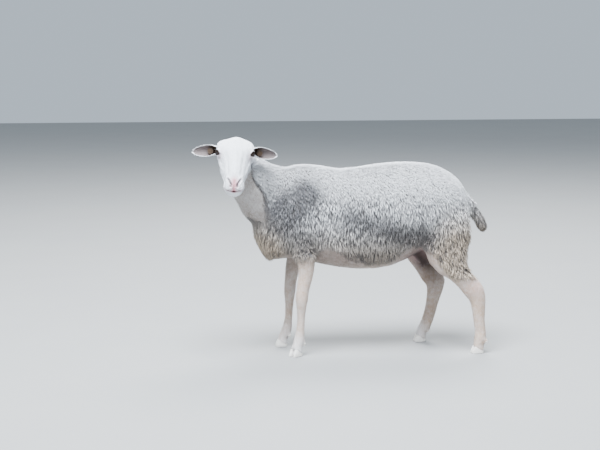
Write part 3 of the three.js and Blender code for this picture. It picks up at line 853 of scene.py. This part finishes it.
def pink_share(points, head):
    """Nose, lips, skin round the eyes, groin and the thin skin behind the elbow."""
    fall = ramp(-18.0, -48.0, head[:, 2])
    nose = bell(line_distance(head, PHILTRUM_PATH), 14.5 - 6.0 * fall)
    lids = np.zeros(len(head))
    lips = np.zeros(len(head))
    for side in SIDES.values():
        lids += 0.35 * blob(head, (side * 56, -108, -30), (16, 18, 16))
        lips = np.maximum(lips, bell(line_distance(head, mirrored_path(MOUTH_PATH, side)), 5.0))
        lips = np.maximum(lips, 0.8 * bell(line_distance(head, mirrored_path(NOSTRIL_PATH, side)), 5.0))
    groin = blob(points, (0.30, MIDDLE_Y, 0.37), (0.09, 0.09, 0.06))
    elbow = blob(points[:, (0, 2)], (-0.02, 0.375), (0.09, 0.045))
    hock = blob(points, (0.50, -0.10, 0.26), (0.035, 0.05, 0.03))
    return np.clip(0.9 * nose + 0.5 * lips + lids + 0.5 * groin + 0.05 * elbow + 0.2 * hock, 0, 1)


def refine(bm, chosen):
    """Splits the chosen faces in four."""
    edges = {edge for face in bm.faces if chosen(face.calc_center_median()) for edge in face.edges}
    bmesh.ops.subdivide_edges(bm, edges=list(edges), cuts=1, use_grid_fill=True)


def head_zone(low, high):
    """A test for points whose place in the head's frame lies in a box."""
    inverse = head_matrix().inverted()

    def inside(point):
        place = inverse @ point
        return all(a < value < b for a, value, b in zip(low, place, high))

    return inside


def near_eyes(reach):
    inverse = head_matrix().inverted()

    def inside(point):
        place = inverse @ point
        return (Vector((abs(place.x), place.y, place.z)) - Vector(EYE_AT)).length < reach

    return inside


def refined(mesh):
    """Finer faces on the feet and the head, and the finest round the eyes and the muzzle."""
    whole_head = head_zone((-75, -290, -150), (75, -20, 20))
    face = head_zone((-72, -285, -110), (72, -60, 15))
    muzzle = head_zone((-48, -285, -82), (48, -212, 0))
    bm = bmesh.new()
    bm.from_mesh(mesh)
    for chosen in (lambda point: point.z < 0.13, whole_head, face, near_eyes(25.0), muzzle):
        refine(bm, chosen)
    bmesh.ops.triangulate(bm, faces=[face for face in bm.faces if len(face.verts) > 4])
    return mesh_of(bm, "skin")


def ear_surface(share, across, level):
    """A point of an ear's wall in its own frame: level 0 is its outside and 1 its inside."""
    half = along_table(share, EAR_ROWS, 1)
    spread = math.radians(along_table(share, EAR_ROWS, 2))
    radius = half / math.sin(min(spread, math.pi / 2))
    reach = radius - 0.6 - EAR_THICK * level
    angle = across * spread
    return Vector((share * EAR_LENGTH, reach * math.cos(angle) - radius, -reach * math.sin(angle)))


def ear_mesh(side):
    """A rolled leaf with a thin rim, as one closed shell that starts inside the head."""
    start, end = EAR_ROWS[0][0], EAR_ROWS[-1][0]
    bm = bmesh.new()
    bmesh.ops.create_grid(bm, x_segments=44, y_segments=28, size=1.0, calc_uvs=False)
    bmesh.ops.solidify(bm, geom=bm.faces[:], thickness=1.0)
    for vert in bm.verts:
        share = start + (vert.co.x + 1) / 2 * (end - start)
        vert.co = ear_surface(share, vert.co.y, abs(vert.co.z))
    bmesh.ops.transform(bm, matrix=ear_matrix(side), verts=bm.verts)
    bmesh.ops.recalc_face_normals(bm, faces=bm.faces)
    return mesh_of(bm, "ear")


def unwrapped(mesh):
    """Gives the mesh its OFBake map: an unwrap of its own shape."""
    made = new_object("unwrap", mesh)
    bpy.context.view_layer.objects.active = made
    made.select_set(True)
    mesh.uv_layers.new(name="OFBake")
    bpy.ops.object.mode_set(mode="EDIT")
    bpy.ops.mesh.select_all(action="SELECT")
    bpy.ops.uv.smart_project(angle_limit=math.radians(70), island_margin=0.002)
    bpy.ops.object.mode_set(mode="OBJECT")
    bpy.data.objects.remove(made)


def with_ears(mesh):
    """The skin with both ears grown out of it."""
    made = new_object("skin", mesh)
    ears = [new_object("ear", ear_mesh(side)) for side in SIDES.values()]
    for ear in ears:
        union = made.modifiers.new("ear", "BOOLEAN")
        union.operation = "UNION"
        union.solver = "EXACT"
        union.object = ear
    joined = finished_mesh(made)
    for ear in ears:
        bpy.data.objects.remove(ear)
    return joined


def ear_share(points, normals):
    """Masks of the ears, of the insides of their troughs and of their rims."""
    on_ear = np.zeros(len(points))
    inside = np.zeros(len(points))
    rim = np.zeros(len(points))
    for side in SIDES.values():
        to_ear = ear_matrix(side).inverted()
        place = moved(points, to_ear)
        facing = unit(normals @ np.array(to_ear)[:3, :3].T)
        share = place[:, 0] / EAR_LENGTH
        half = along_table(share, EAR_ROWS, 1)
        spread = np.radians(along_table(share, EAR_ROWS, 2))
        radius = half / np.sin(np.minimum(spread, np.pi / 2))
        outward = np.stack([place[:, 1] + radius, place[:, 2]], axis=1)
        reach = np.linalg.norm(outward, axis=1)
        in_wall = (np.abs(reach - radius + 2) < 5) & (place[:, 1] < 8)
        mine = in_wall & (place[:, 0] > 2) & (place[:, 0] < 130)
        turned = np.abs(np.arctan2(outward[:, 1], outward[:, 0])) / spread
        hollow = ramp(0.0, 0.6, -(facing[:, 1:] * outward).sum(axis=1) / reach)
        on_ear = np.where(mine, ramp(2, 20, place[:, 0]), on_ear)
        # The inside mask carries the trough's bare pink skin and painted shade, strongest near the root.
        inside = np.where(mine, hollow * (1 - 0.6 * ramp(0.1, 0.6, share)), inside)
        rim = np.where(mine, ramp(0.82, 0.95, turned + ramp(0.85, 1.0, share)), rim)
    return on_ear, inside * (1 - 0.8 * rim), rim


def sculpt(mesh):
    """Moves the skin in under the coat, cuts the face into it and stores its markings."""
    points = vertex_array(mesh)
    normals = vertex_array(mesh, "normal")
    edges = edge_array(mesh)
    face = face_share(points)
    on_ear, inside, rim = ear_share(points, normals)
    ends = ramp(0.54, 0.60, points[:, 2]) * (1 - ramp(0.735, 0.752, points[:, 2]))
    # The fold is sunk and painted dark, as the shadow under the fleece's edge.
    crease = bell(line_distance(points, NECK_EDGE), 0.0042) * ends
    cover = wool_share(points, normals, face) * (1 - crease)
    depth = smoothed(coat_depth(points, cover)[:, None], edges, 6)[:, 0]
    points = points - normals * (depth + horn_depth(points) + 0.006 * crease)[:, None]
    to_head = head_matrix().inverted()
    head = moved(points, to_head)
    sunk, dark = face_cuts(head)
    points = points + normals * ((face_folds(head) - sunk) * MM * (face > 0.5))[:, None]
    dark = dark * (face > 0.5)
    head = moved(points, to_head)
    for side in SIDES.values():
        head, open_eye, lid_rim = lid_places(head, side)
        # The eye openings and their rims are painted dark, as shade round the eyes.
        dark = np.where(open_eye | lid_rim, 1.0, dark)
    points = moved(head, head_matrix())
    set_places(mesh, points)
    marks = {
        "face": face,
        "cover": cover,
        "ear": on_ear,
        "inside": inside,
        "rim": rim,
        "grey": soil_and_shade_share(points, normals) * (1 - ramp(0.5, 1.0, face)) + face_shade(head) * face,
        "warm": warm_share(points) * (1 - face),
        "pink": np.clip(pink_share(points, head) + 0.3 * inside, 0, 1),
        # The dark mark is painted shade in the face's hollows, round the eyes, in the groin and along the
        # neck's fold.
        "dark": np.clip(dark + groin_shade_share(points) + 0.9 * crease, 0, 1),
    }
    for name, values in marks.items():
        float_attribute(mesh, name, values)


class EWE_OT_skin(bpy.types.Operator):
    """One skin over the whole body, with the face cut into it"""

    bl_idname = "ewe.skin"
    bl_label = "Skin"

    def execute(self, context):
        settings = context.scene.ewe_skin
        filled = [*BODY_NODES, *HORN_NODES, "eye_left", "eye_right"]
        mesh = remeshed(merged_copy(filled, grow=0.0009), "skin", settings.cell, 5)
        drawn_back(mesh, filled)
        drawn_back(mesh, filled)
        unwrapped(mesh)
        mesh = refined(mesh)
        set_places(mesh, smoothed(vertex_array(mesh), edge_array(mesh), 3))
        drawn_back(mesh, filled, top=0.40)
        mesh = with_ears(mesh)
        sculpt(mesh)
        mesh.shade_smooth()
        made = new_object("skin", mesh)
        finish_piece(made, skin_material(settings), [*BODY_NODES, *EAR_NODES])
        return {"FINISHED"}


# ---------------------------------------------------------------- eyes


def eye_material():
    """Dark brown iris with a level bar of a pupil, under a wet cornea, the iris and the rest of the ball
    painted darker still as the shade under the lids and the brow.
    """
    material, tree, shader = new_material("eye", Roughness=0.15, Specular_IOR_Level=0.3, Coat_Weight=0.15)
    far = marking(tree, "far")
    across = sums(tree, "POWER", sums(tree, "DIVIDE", marking(tree, "across"), 5.2), 4.0)
    upward = sums(tree, "POWER", sums(tree, "DIVIDE", marking(tree, "upward"), 2.2), 2.0)
    pupil = sums(tree, "ADD", across, upward)
    fibres = mottle(tree, places(tree), 900.0, 4.0, 0.7)
    fibres = stretch(tree, fibres, 0.3, 0.7)
    # The iris and the ball beyond it are painted near black, as the shade under the lids and the brow.
    iris = blend(tree, fibres, (0.005, 0.0022, 0.0012, 1), (0.018, 0.008, 0.003, 1))
    iris = blend(tree, stretch(tree, far, 6.5, 9.5), iris, (0.02, 0.01, 0.006, 1))
    iris = blend(tree, stretch(tree, pupil, 1.15, 0.85), iris, (0.004, 0.004, 0.006, 1))
    colour = blend(tree, stretch(tree, far, 10.0, 11.6), iris, (0.012, 0.008, 0.007, 1))
    tree.links.new(colour, shader.inputs["Base Color"])
    return material


def eyeball(name, side, material):
    """A ball with a bulging cornea, set in its socket."""
    look, long, upward = eye_axes(side)
    axes = Matrix((long, upward, look)).transposed().to_4x4()
    place = head_matrix() @ Matrix.Translation(np.array(EYE_AT) * (side, 1, 1)) @ axes
    bm = bmesh.new()
    bmesh.ops.create_uvsphere(bm, u_segments=48, v_segments=32, radius=EYE_RADIUS)
    for vert in bm.verts:
        far = math.hypot(vert.co.x, vert.co.y)
        if vert.co.z > 0:
            vert.co.z += 0.9 * math.exp(-((far / 7.0) ** 2))
    across = [vert.co.x for vert in bm.verts]
    rise = [vert.co.y for vert in bm.verts]
    far = [math.hypot(vert.co.x, vert.co.y) if vert.co.z > 0 else 15.0 for vert in bm.verts]
    bmesh.ops.transform(bm, matrix=place, verts=bm.verts)
    bmesh.ops.recalc_face_normals(bm, faces=bm.faces)
    mesh = mesh_of(bm, name)
    float_attribute(mesh, "across", np.abs(across))
    float_attribute(mesh, "upward", np.abs(rise))
    float_attribute(mesh, "far", far)
    mesh.shade_smooth()
    return new_object(name, mesh)


class EWE_OT_eyes(bpy.types.Operator):
    """Both eyeballs, with iris, pupil and cornea"""

    bl_idname = "ewe.eyes"
    bl_label = "Eyes"

    def execute(self, context):
        material = eye_material()
        for name, side in SIDES.items():
            finish_piece(eyeball(f"eyeball_{name}", side, material), material, [f"eye_{name}"])
        return {"FINISHED"}


# ---------------------------------------------------------------- claws


def horn_material():
    """Pale cream horn with growth rings, soiled towards the ground."""
    material, tree, shader = new_material("horn", Roughness=0.55, Specular_IOR_Level=0.4)
    spots = placed_group(tree, "soiling", {"Vector": places(tree), "Size": 40.0})["Mask"]
    rings = mottle(tree, places(tree, scale=(30, 30, 420)), 1.0, 2.0, 0.5)
    colour = blend(tree, stretch(tree, rings, 0.3, 0.7), (0.78, 0.74, 0.68, 1), (0.90, 0.88, 0.84, 1))
    colour = blend(tree, sums(tree, "MULTIPLY", spots, 0.32), colour, (0.30, 0.25, 0.20, 1))
    tree.links.new(colour, shader.inputs["Base Color"])
    raise_surface(tree, shader, rings, 0.35, 0.0012)
    return material


def pointed(points):
    """A dewclaw's ball drawn down to a blunt point, narrow where it grows from the leg."""
    low, high = points.min(axis=0), points.max(axis=0)
    middle = (low + high) / 2
    rise = (points[:, 2] - low[2]) / (high[2] - low[2])
    shrink = (0.62 + 0.3 * np.sin(np.pi * np.clip(rise + 0.15, 0, 1)))[:, None]
    points[:, :2] = middle[:2] + (points[:, :2] - middle[:2]) * shrink
    return points


class EWE_OT_claws(bpy.types.Operator):
    """Claws and dewclaws of all four feet"""

    bl_idname = "ewe.claws"
    bl_label = "Claws"

    def execute(self, context):
        material = horn_material()
        for name in HORN_NODES:
            mesh = remeshed(merged_copy([name]), name, 0.0017, 3)
            points = vertex_array(mesh)
            if "dewclaw" in name:
                points = pointed(points)
            else:
                share = horn_top(points, name.split("_claw")[0]) / CLAW_HEIGHT
                points[:, 2] *= share + (1 - share) * ramp(0.012, 0.0, points[:, 2])
            points[:, 2] = np.maximum(points[:, 2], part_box(name)[0].z)
            set_places(mesh, points)
            mesh.shade_smooth()
            finish_piece(new_object(f"{name}_horn", mesh), material, [name])
        return {"FINISHED"}


# ---------------------------------------------------------------- ear tags


def tag_material():
    """Ochre plastic, painted dark as the shade inside the ear, and a little soiled."""
    material, tree, shader = new_material("ear tag", Roughness=0.5)
    spots = placed_group(tree, "soiling", {"Vector": places(tree), "Size": 120.0})["Mask"]
    darkening = sums(tree, "MULTIPLY", spots, 0.5)
    # The tag's ochre, painted dark as the shade inside the ear.
    colour = blend(tree, darkening, (0.055, 0.030, 0.015, 1), (0.022, 0.012, 0.007, 1))
    tree.links.new(colour, shader.inputs["Base Color"])
    raise_surface(tree, shader, spots, 0.2, 0.0006)
    return material


def plate(radius, start, end, side):
    """A round plate with bevelled edges that lies across an ear."""
    bm = bmesh.new()
    bmesh.ops.create_cone(bm, cap_ends=True, segments=40, radius1=radius, radius2=radius, depth=end - start)
    rims = [edge for edge in bm.edges if abs(edge.verts[0].co.z - edge.verts[1].co.z) < 1e-6]
    bmesh.ops.bevel(bm, geom=rims, offset=0.5, affect="EDGES", segments=3, profile=0.5, material=-1)
    place = Matrix.Translation((EAR_LENGTH * TAG_SHARE, (start + end) / 2, 0))
    turn = Matrix.Rotation(math.radians(90), 4, "X")
    bmesh.ops.transform(bm, matrix=ear_matrix(side) @ place @ turn, verts=bm.verts)
    return mesh_of(bm, "plate")


class EWE_OT_ear_tags(bpy.types.Operator):
    """A bare button tag in each ear"""

    bl_idname = "ewe.ear_tags"
    bl_label = "Ear tags"

    def execute(self, context):
        material = tag_material()
        for name, side in SIDES.items():
            bm = bmesh.new()
            for part in TAG_PARTS:
                piece = plate(*part, side)
                bm.from_mesh(piece)
                bpy.data.meshes.remove(piece)
            bmesh.ops.recalc_face_normals(bm, faces=bm.faces)
            made = new_object(f"button_tag_{name}", mesh_of(bm, f"button_tag_{name}"))
            finish_piece(made, material, [f"ear_tag_{name}"])
        return {"FINISHED"}


# ---------------------------------------------------------------- coat


def lock_template(rings):
    """A three-sided lock along Z from 0 to 1, cut into rings, as corners and faces."""
    bm = bmesh.new()
    bmesh.ops.create_cone(bm, cap_ends=True, cap_tris=False, segments=3, radius1=1, radius2=0.5, depth=1)
    bmesh.ops.translate(bm, verts=bm.verts, vec=(0, 0, 0.5))
    top = [face for face in bm.faces if all(vert.co.z > 0.99 for vert in face.verts)]
    bmesh.ops.pointmerge(bm, verts=top[0].verts[:], merge_co=(0, 0, 1))
    for height in rings:
        everything = bm.verts[:] + bm.edges[:] + bm.faces[:]
        bmesh.ops.bisect_plane(bm, geom=everything, plane_co=(0, 0, height), plane_no=(0, 0, 1))
    for vert in bm.verts:
        if vert.co.z < 0.999:
            vert.co.xy = vert.co.xy.normalized()
    bm.verts.index_update()
    corners = np.array([vert.co for vert in bm.verts])
    faces = [[vert.index for vert in face.verts] for face in bm.faces]
    bm.free()
    return corners, faces


def scattered(skin, density, rng):
    """Roots spread over the skin at a density per square metre.

    Returns where they are, their normals, their spot on the unwrap and the skin's markings there."""
    mesh = skin.data
    mesh.calc_loop_triangles()
    corner = read_array(mesh.loop_triangles, "vertices", 3, np.int32)
    loop = read_array(mesh.loop_triangles, "loops", 3, np.int32)
    spot = read_array(mesh.uv_layers["OFBake"].data, "uv", 2, np.float32)
    points = vertex_array(mesh)
    normals = vertex_array(mesh, "normal")
    shape = points[corner]
    area = np.linalg.norm(np.cross(shape[:, 1] - shape[:, 0], shape[:, 2] - shape[:, 0]), axis=1) / 2
    weight = np.cumsum(area * density[corner].mean(axis=1))
    number = int(weight[-1])
    chosen = np.searchsorted(weight, (np.arange(number) + rng.random(number)) * weight[-1] / number)
    chosen = np.minimum(chosen, len(corner) - 1)
    first, second = rng.random((2, number))
    folded = first + second > 1
    first, second = np.where(folded, 1 - first, first), np.where(folded, 1 - second, second)
    shares = np.stack([1 - first - second, first, second], axis=1)
    roots = {
        "point": (points[corner[chosen]] * shares[:, :, None]).sum(axis=1),
        "normal": unit((normals[corner[chosen]] * shares[:, :, None]).sum(axis=1)),
        "spot": (spot[loop[chosen]] * shares[:, :, None]).sum(axis=1),
    }
    for name in ("face", "cover", "ear", "grey", "warm", "pink"):
        roots[name] = (read_attribute(mesh, name)[corner[chosen]] * shares).sum(axis=1)
    return roots


def lie_of_coat(roots):
    """The way the coat lies: down and back over the body, back over the face, outwards on the ears."""
    point, normal = roots["point"], roots["normal"]
    number = len(point)
    want = np.tile([0.06, 0.0, -1.0], (number, 1))
    want[:, 1] = 0.9 * np.clip((point[:, 1] - MIDDLE_Y) / 0.03, -1, 1) * ramp(0.6, 0.95, normal[:, 2])
    want[:, 0] += 0.5 * ramp(0.55, 0.68, point[:, 2])
    head = np.array(head_matrix())[:3, :3] / MM
    back = head @ np.array([0, 1.0, -0.25])
    want = want + roots["face"][:, None] * (3 * back - want)
    for side in SIDES.values():
        tip = np.array(ear_matrix(side))[:3, 0] / MM
        mine = roots["ear"] * (side * (point[:, 0] - HEAD_AT[0]) > 0)
        want = want + mine[:, None] * (4 * tip - want)
    flat = want - (want * normal).sum(axis=1)[:, None] * normal
    return unit(flat)


def surface_tree(skin):
    mesh = skin.data
    return BVHTree.FromPolygons(
        [vert.co for vert in mesh.vertices], [tuple(face.vertices) for face in mesh.polygons]
    )


def settled(tree, points, lift):
    """Points set down at their own lift above the nearest skin."""
    result = np.array(points)
    for index, (point, rise) in enumerate(zip(points, lift)):
        place, normal, _, _ = tree.find_nearest(Vector(point))
        result[index] = place + normal * rise
    return result


def lock_places(corners, roots, lie, tip, lift, half, flat, wave, rng):
    """Every corner of every lock: a bent, wavy, tapering body from its root to its tip."""
    point, normal = roots["point"], roots["normal"]
    a, b, share = (corners[:, axis][None, :, None] for axis in range(3))
    length = np.linalg.norm(tip - point, axis=1)[:, None]
    root = (point - normal * 0.001)[:, None]
    control = (point + normal * lift[:, None] * 0.9 + lie * length * 0.3)[:, None]
    body = (1 - share) ** 2 * root + 2 * share * (1 - share) * control + share**2 * tip[:, None]
    side = unit(np.cross(normal, lie))[:, None]
    turns, size = (values[:, None, None] for values in wave)
    phase = rng.random((len(point), 1, 1))
    body = body + side * size * np.sin(2 * np.pi * (turns * share + phase)) * share
    wide = half[:, None, None] * np.sin(np.pi * (0.2 + 0.8 * share)) ** 0.8
    twist = rng.uniform(-0.6, 0.6, (len(point), 1, 1)) * (1 + share)
    across = (a * np.cos(twist) - b * np.sin(twist)) * wide
    upward = (a * np.sin(twist) + b * np.cos(twist)) * wide * flat
    return body + across * side + upward * normal[:, None]


def joined_locks(name, template, spread, roots, tone, floor):
    """One mesh of many like locks, with their markings and their patch of the OFBake map."""
    corners, faces = template
    number, size = spread.shape[:2]
    start = np.arange(number)[:, None]
    ring = np.concatenate([np.array(face) for face in faces])
    lengths = np.array([len(face) for face in faces])
    starts = np.concatenate([[0], np.cumsum(lengths)[:-1]])
    mesh = bpy.data.meshes.new(name)
    mesh.vertices.add(number * size)
    mesh.vertices.foreach_set("co", spread.astype(np.float32).ravel())
    mesh.loops.add(number * len(ring))
    mesh.loops.foreach_set("vertex_index", (ring[None] + start * size).astype(np.int32).ravel())
    mesh.polygons.add(number * len(faces))
    mesh.polygons.foreach_set("loop_start", (starts[None] + start * len(ring)).astype(np.int32).ravel())
    mesh.polygons.foreach_set("loop_total", np.tile(lengths, number).astype(np.int32))
    mesh.update(calc_edges=True)
    patch = np.stack([0.0012 * corners[ring, 0], 0.003 * (corners[ring, 2] - 0.5)], axis=1)
    spots = roots["spot"][:, None] + patch[None]
    mesh.uv_layers.new(name="OFBake").data.foreach_set("uv", spots.astype(np.float32).ravel())
    # Painted shade: each lock darkens towards its root.
    rise = ramp(0.0, 0.6, corners[:, 2])[None]
    unshaded = tone[:, None] * (floor[:, None] + (1 - floor[:, None]) * rise)
    float_attribute(mesh, "unshaded", unshaded.ravel())
    for mark in ("grey", "warm", "pink"):
        float_attribute(mesh, mark, np.repeat(roots[mark], size))
    mesh.shade_smooth()
    return new_object(name, mesh)


def coat_pieces(kind, count, template, spread, roots, tone, floor, material):
    """Cuts a coat into slices with like numbers of locks, from front to back, one piece from each."""
    order = np.argsort(np.argsort(roots["point"][:, 0]))
    slice_of = order * count // len(order)
    for index in range(count):
        mask = slice_of == index
        mine = {name: values[mask] for name, values in roots.items()}
        made = joined_locks(f"{kind}_{index + 1}", template, spread[mask], mine, tone[mask], floor[mask])
        finish_piece(made, material)


def staples(point, number, weight, rng):
    """Gathers roots into narrow upright staples: how far inside its staple each root is, and its middle."""
    waved = np.array(point)
    for axis, seed in ((0, 21), (1, 22)):
        waved[:, axis] += 0.005 * noise(point, 0.016, seed)
    waved[:, 2] = 0.27 * waved[:, 2] + 0.2 * np.minimum(waved[:, 2] - 0.44, 0)
    middles = rng.choice(len(point), number, replace=False, p=weight / weight.sum())
    tree = KDTree(number)
    for index, middle in enumerate(middles):
        tree.insert(waved[middle], index)
    tree.balance()
    found = [tree.find_n(place, 2) for place in waved]
    inside = np.array([second[2] - first[2] for first, second in found])
    own = np.array([first[1] for first, _ in found])
    return inside, own, point[middles[own]]


def fleece_roots(skin, rng, locks):
    """Roots of the fleece, closer together on the back."""
    high = ramp(0.56, 0.68, vertex_array(skin.data)[:, 2])
    density = np.where(read_attribute(skin.data, "cover") > 0.25, 1.0 + 0.6 * high, 0.0)
    return scattered(skin, density * (locks / FLEECE_AREA), rng)


class EWE_OT_fleece(bpy.types.Operator):
    """The fleece: wavy locks on the flanks and thighs, fine ones on the back and neck"""

    bl_idname = "ewe.fleece"
    bl_label = "Fleece"

    def execute(self, context):
        settings = context.scene.ewe_fleece
        rng = np.random.default_rng(11)
        skin = bpy.data.objects["skin"]
        roots = fleece_roots(skin, rng, settings.locks)
        point = roots["point"]
        number = len(point)
        loin = ramp(0.10, 0.25, point[:, 0])
        high = ramp(0.56, 0.68, point[:, 2] + 0.035 * loin)
        neck = ramp(0.22, 0.30, -point[:, 0])
        fine = np.maximum(high, 0.8 * neck * ramp(0.48, 0.54, point[:, 2]))
        inside, own, middle = staples(point, settings.staples, 1 + high, rng)
        core = ramp(0.0, 0.0036, inside)
        mood = rng.normal(0, 0.12, settings.staples)[own]
        length = (settings.length - 0.014 * fine) * rng.uniform(0.7, 1.25, number)
        half = (settings.half - 0.0002 * fine) * rng.uniform(0.75, 1.25, number)
        depth = coat_depth(point, np.clip(roots["cover"], 0.35, 1))
        lift = depth * (0.40 + 0.52 * core + 0.42 * fine * (1 - core)) * rng.uniform(0.92, 1.06, number)
        lie = lie_of_coat(roots)
        side = unit(np.cross(roots["normal"], lie))
        sway = (0.25 + 0.2 * fine) * noise(point, 0.02, 12) + rng.normal(0, 0.08, number) * (1 + fine)
        lie = unit(lie + side * sway[:, None])
        inward = 0.6 * (1 - fine) * ((middle - point) * side).sum(axis=1)
        reach = point + lie * length[:, None] + side * inward[:, None]
        tip = settled(surface_tree(skin), reach, lift)
        # Locks at the edges of their staples take painted shade in the gaps between staples; mood is each
        # staple's own tone.
        tone = np.clip(0.10 + (0.9 + mood * (1 - fine)) * core + fine * 0.88 * (1 - core), 0, 1)
        tone = np.clip(tone + rng.normal(0, 0.05, number), 0, 1)
        wave = (rng.uniform(1.2, 2.4, number), (0.0026 - 0.0012 * fine) * rng.uniform(0.5, 1.2, number))
        template = lock_template((0.28, 0.55, 0.8))
        spread = lock_places(template[0], roots, lie, tip, lift, half, 0.5, wave, rng)
        colours = (settings.light, settings.warm, settings.grey, settings.root)
        material = coat_material("fleece", *colours)
        coat_pieces("fleece", 7, template, spread, roots, tone, 0.22 + 0.6 * fine, material)
        return {"FINISHED"}


class EWE_OT_hair(bpy.types.Operator):
    """Short hair of the head, ears and legs"""

    bl_idname = "ewe.hair"
    bl_label = "Short hair"

    def execute(self, context):
        settings = context.scene.ewe_skin
        rng = np.random.default_rng(23)
        skin = bpy.data.objects["skin"]
        names = ("cover", "dark", "inside", "pink", "face", "rim")
        cover, dark, inside, pink, face, rim = (read_attribute(skin.data, name) for name in names)
        hairy = (cover < 0.3) * (dark < 0.3) * (inside < 0.1) * (1 - 0.92 * np.clip(pink, 0, 1))
        roots = scattered(skin, hairy * (settings.hairs + settings.face_hairs * face) * (1 + 3 * rim), rng)
        point = roots["point"]
        number = len(point)
        lie = lie_of_coat(roots)
        side = unit(np.cross(roots["normal"], lie))
        lie = unit(lie + side * rng.normal(0, 0.2, number)[:, None])
        length = (0.010 - 0.003 * roots["face"]) * rng.uniform(0.6, 1.2, number)
        lift = rng.uniform(0.0006, 0.0016, number)
        tip = settled(surface_tree(skin), point + lie * length[:, None], lift)
        half = rng.uniform(0.0004, 0.0008, number)
        wave = (rng.uniform(0.3, 0.8, number), np.full(number, 0.0004))
        template = lock_template((0.5,))
        spread = lock_places(template[0], roots, lie, tip, lift, half, 0.4, wave, rng)
        colours = (settings.hair, settings.cream, settings.dull, settings.hair_root)
        material = coat_material("short hair", *colours)
        tone = rng.uniform(0.7, 1.0, number)
        coat_pieces("hair", 2, template, spread, roots, tone, np.full(number, 0.6), material)
        return {"FINISHED"}


# ---------------------------------------------------------------- stage


def area_light(name, place, target, size, power, colour):
    light = bpy.data.lights.new(name, "AREA")
    light.shape = "DISK"
    light.size = size
    light.energy = power
    light.color = colour
    made = bpy.data.objects.new(name, light)
    bpy.context.scene.collection.objects.link(made)
    made.location = place
    made.rotation_euler = (Vector(target) - Vector(place)).to_track_quat("-Z", "Y").to_euler()
    return made


class EWE_OT_stage(bpy.types.Operator):
    """Camera, soft light and a plain pale floor"""

    bl_idname = "ewe.stage"
    bl_label = "Stage"

    def execute(self, context):
        settings = context.scene.ewe_stage
        camera = bpy.data.objects.new("camera", bpy.data.cameras.new("camera"))
        context.scene.collection.objects.link(camera)
        camera.data.lens = settings.lens
        camera.location = settings.camera
        camera.rotation_euler = (math.radians(90) - settings.pitch, 0, settings.azimuth)
        context.scene.camera = camera
        area_light("key", (-0.9, -1.8, 5.6), (0, 0, 0.4), 3.6, 1900, (0.87, 0.935, 1.0))
        area_light("fill", (-3.5, -5.0, 2.2), (0, 0, 0.4), 3.0, 90, (0.93, 0.96, 1.0))
        area_light("rim", (1.0, 3.5, 5.0), (0, 0, 0.5), 3.0, 700, (0.95, 0.98, 1.0))
        world = bpy.data.worlds.new("studio")
        world.use_nodes = True
        background = world.node_tree.nodes["Background"].inputs
        background["Color"].default_value = (0.74, 0.87, 1.0, 1)
        background["Strength"].default_value = 0.75
        context.scene.world = world
        bm = bmesh.new()
        bmesh.ops.create_grid(bm, x_segments=1, y_segments=1, size=12.0)
        floor = new_object("floor", mesh_of(bm, "floor"))
        material, tree, shader = new_material("floor", Roughness=0.9)
        shade = mottle(tree, places(tree), 3.0, 2.0, 0.5)
        colour = blend(tree, shade, (0.27, 0.27, 0.27, 1), (0.29, 0.29, 0.285, 1))
        tree.links.new(colour, shader.inputs["Base Color"])
        floor.data.materials.append(material)
        return {"FINISHED"}


# ---------------------------------------------------------------- panel and running


OPERATORS = (
    EWE_OT_stage,
    EWE_OT_skin,
    EWE_OT_eyes,
    EWE_OT_claws,
    EWE_OT_ear_tags,
    EWE_OT_fleece,
    EWE_OT_hair,
)


class EWE_PT_panel(bpy.types.Panel):
    """Lists the steps that build the ewe"""

    bl_idname = "EWE_PT_panel"
    bl_label = "Ewe"
    bl_space_type = "VIEW_3D"
    bl_region_type = "UI"
    bl_category = "Ewe"

    def draw(self, context):
        for operator in OPERATORS:
            self.layout.operator(operator.bl_idname)


CLASSES = (EweSkinSettings, EweFleeceSettings, EweStageSettings, *OPERATORS, EWE_PT_panel)


def register():
    for each in CLASSES:
        bpy.utils.register_class(each)
    bpy.types.Scene.ewe_skin = PointerProperty(type=EweSkinSettings)
    bpy.types.Scene.ewe_fleece = PointerProperty(type=EweFleeceSettings)
    bpy.types.Scene.ewe_stage = PointerProperty(type=EweStageSettings)


def unregister():
    for name in ("ewe_stage", "ewe_fleece", "ewe_skin"):
        delattr(bpy.types.Scene, name)
    for each in reversed(CLASSES):
        bpy.utils.unregister_class(each)


def main():
    register()
    bpy.ops.ewe.stage()
    bpy.ops.ewe.skin()
    bpy.ops.ewe.eyes()
    bpy.ops.ewe.claws()
    bpy.ops.ewe.ear_tags()
    bpy.ops.ewe.fleece()
    bpy.ops.ewe.hair()


if __name__ == "__main__":
    main()
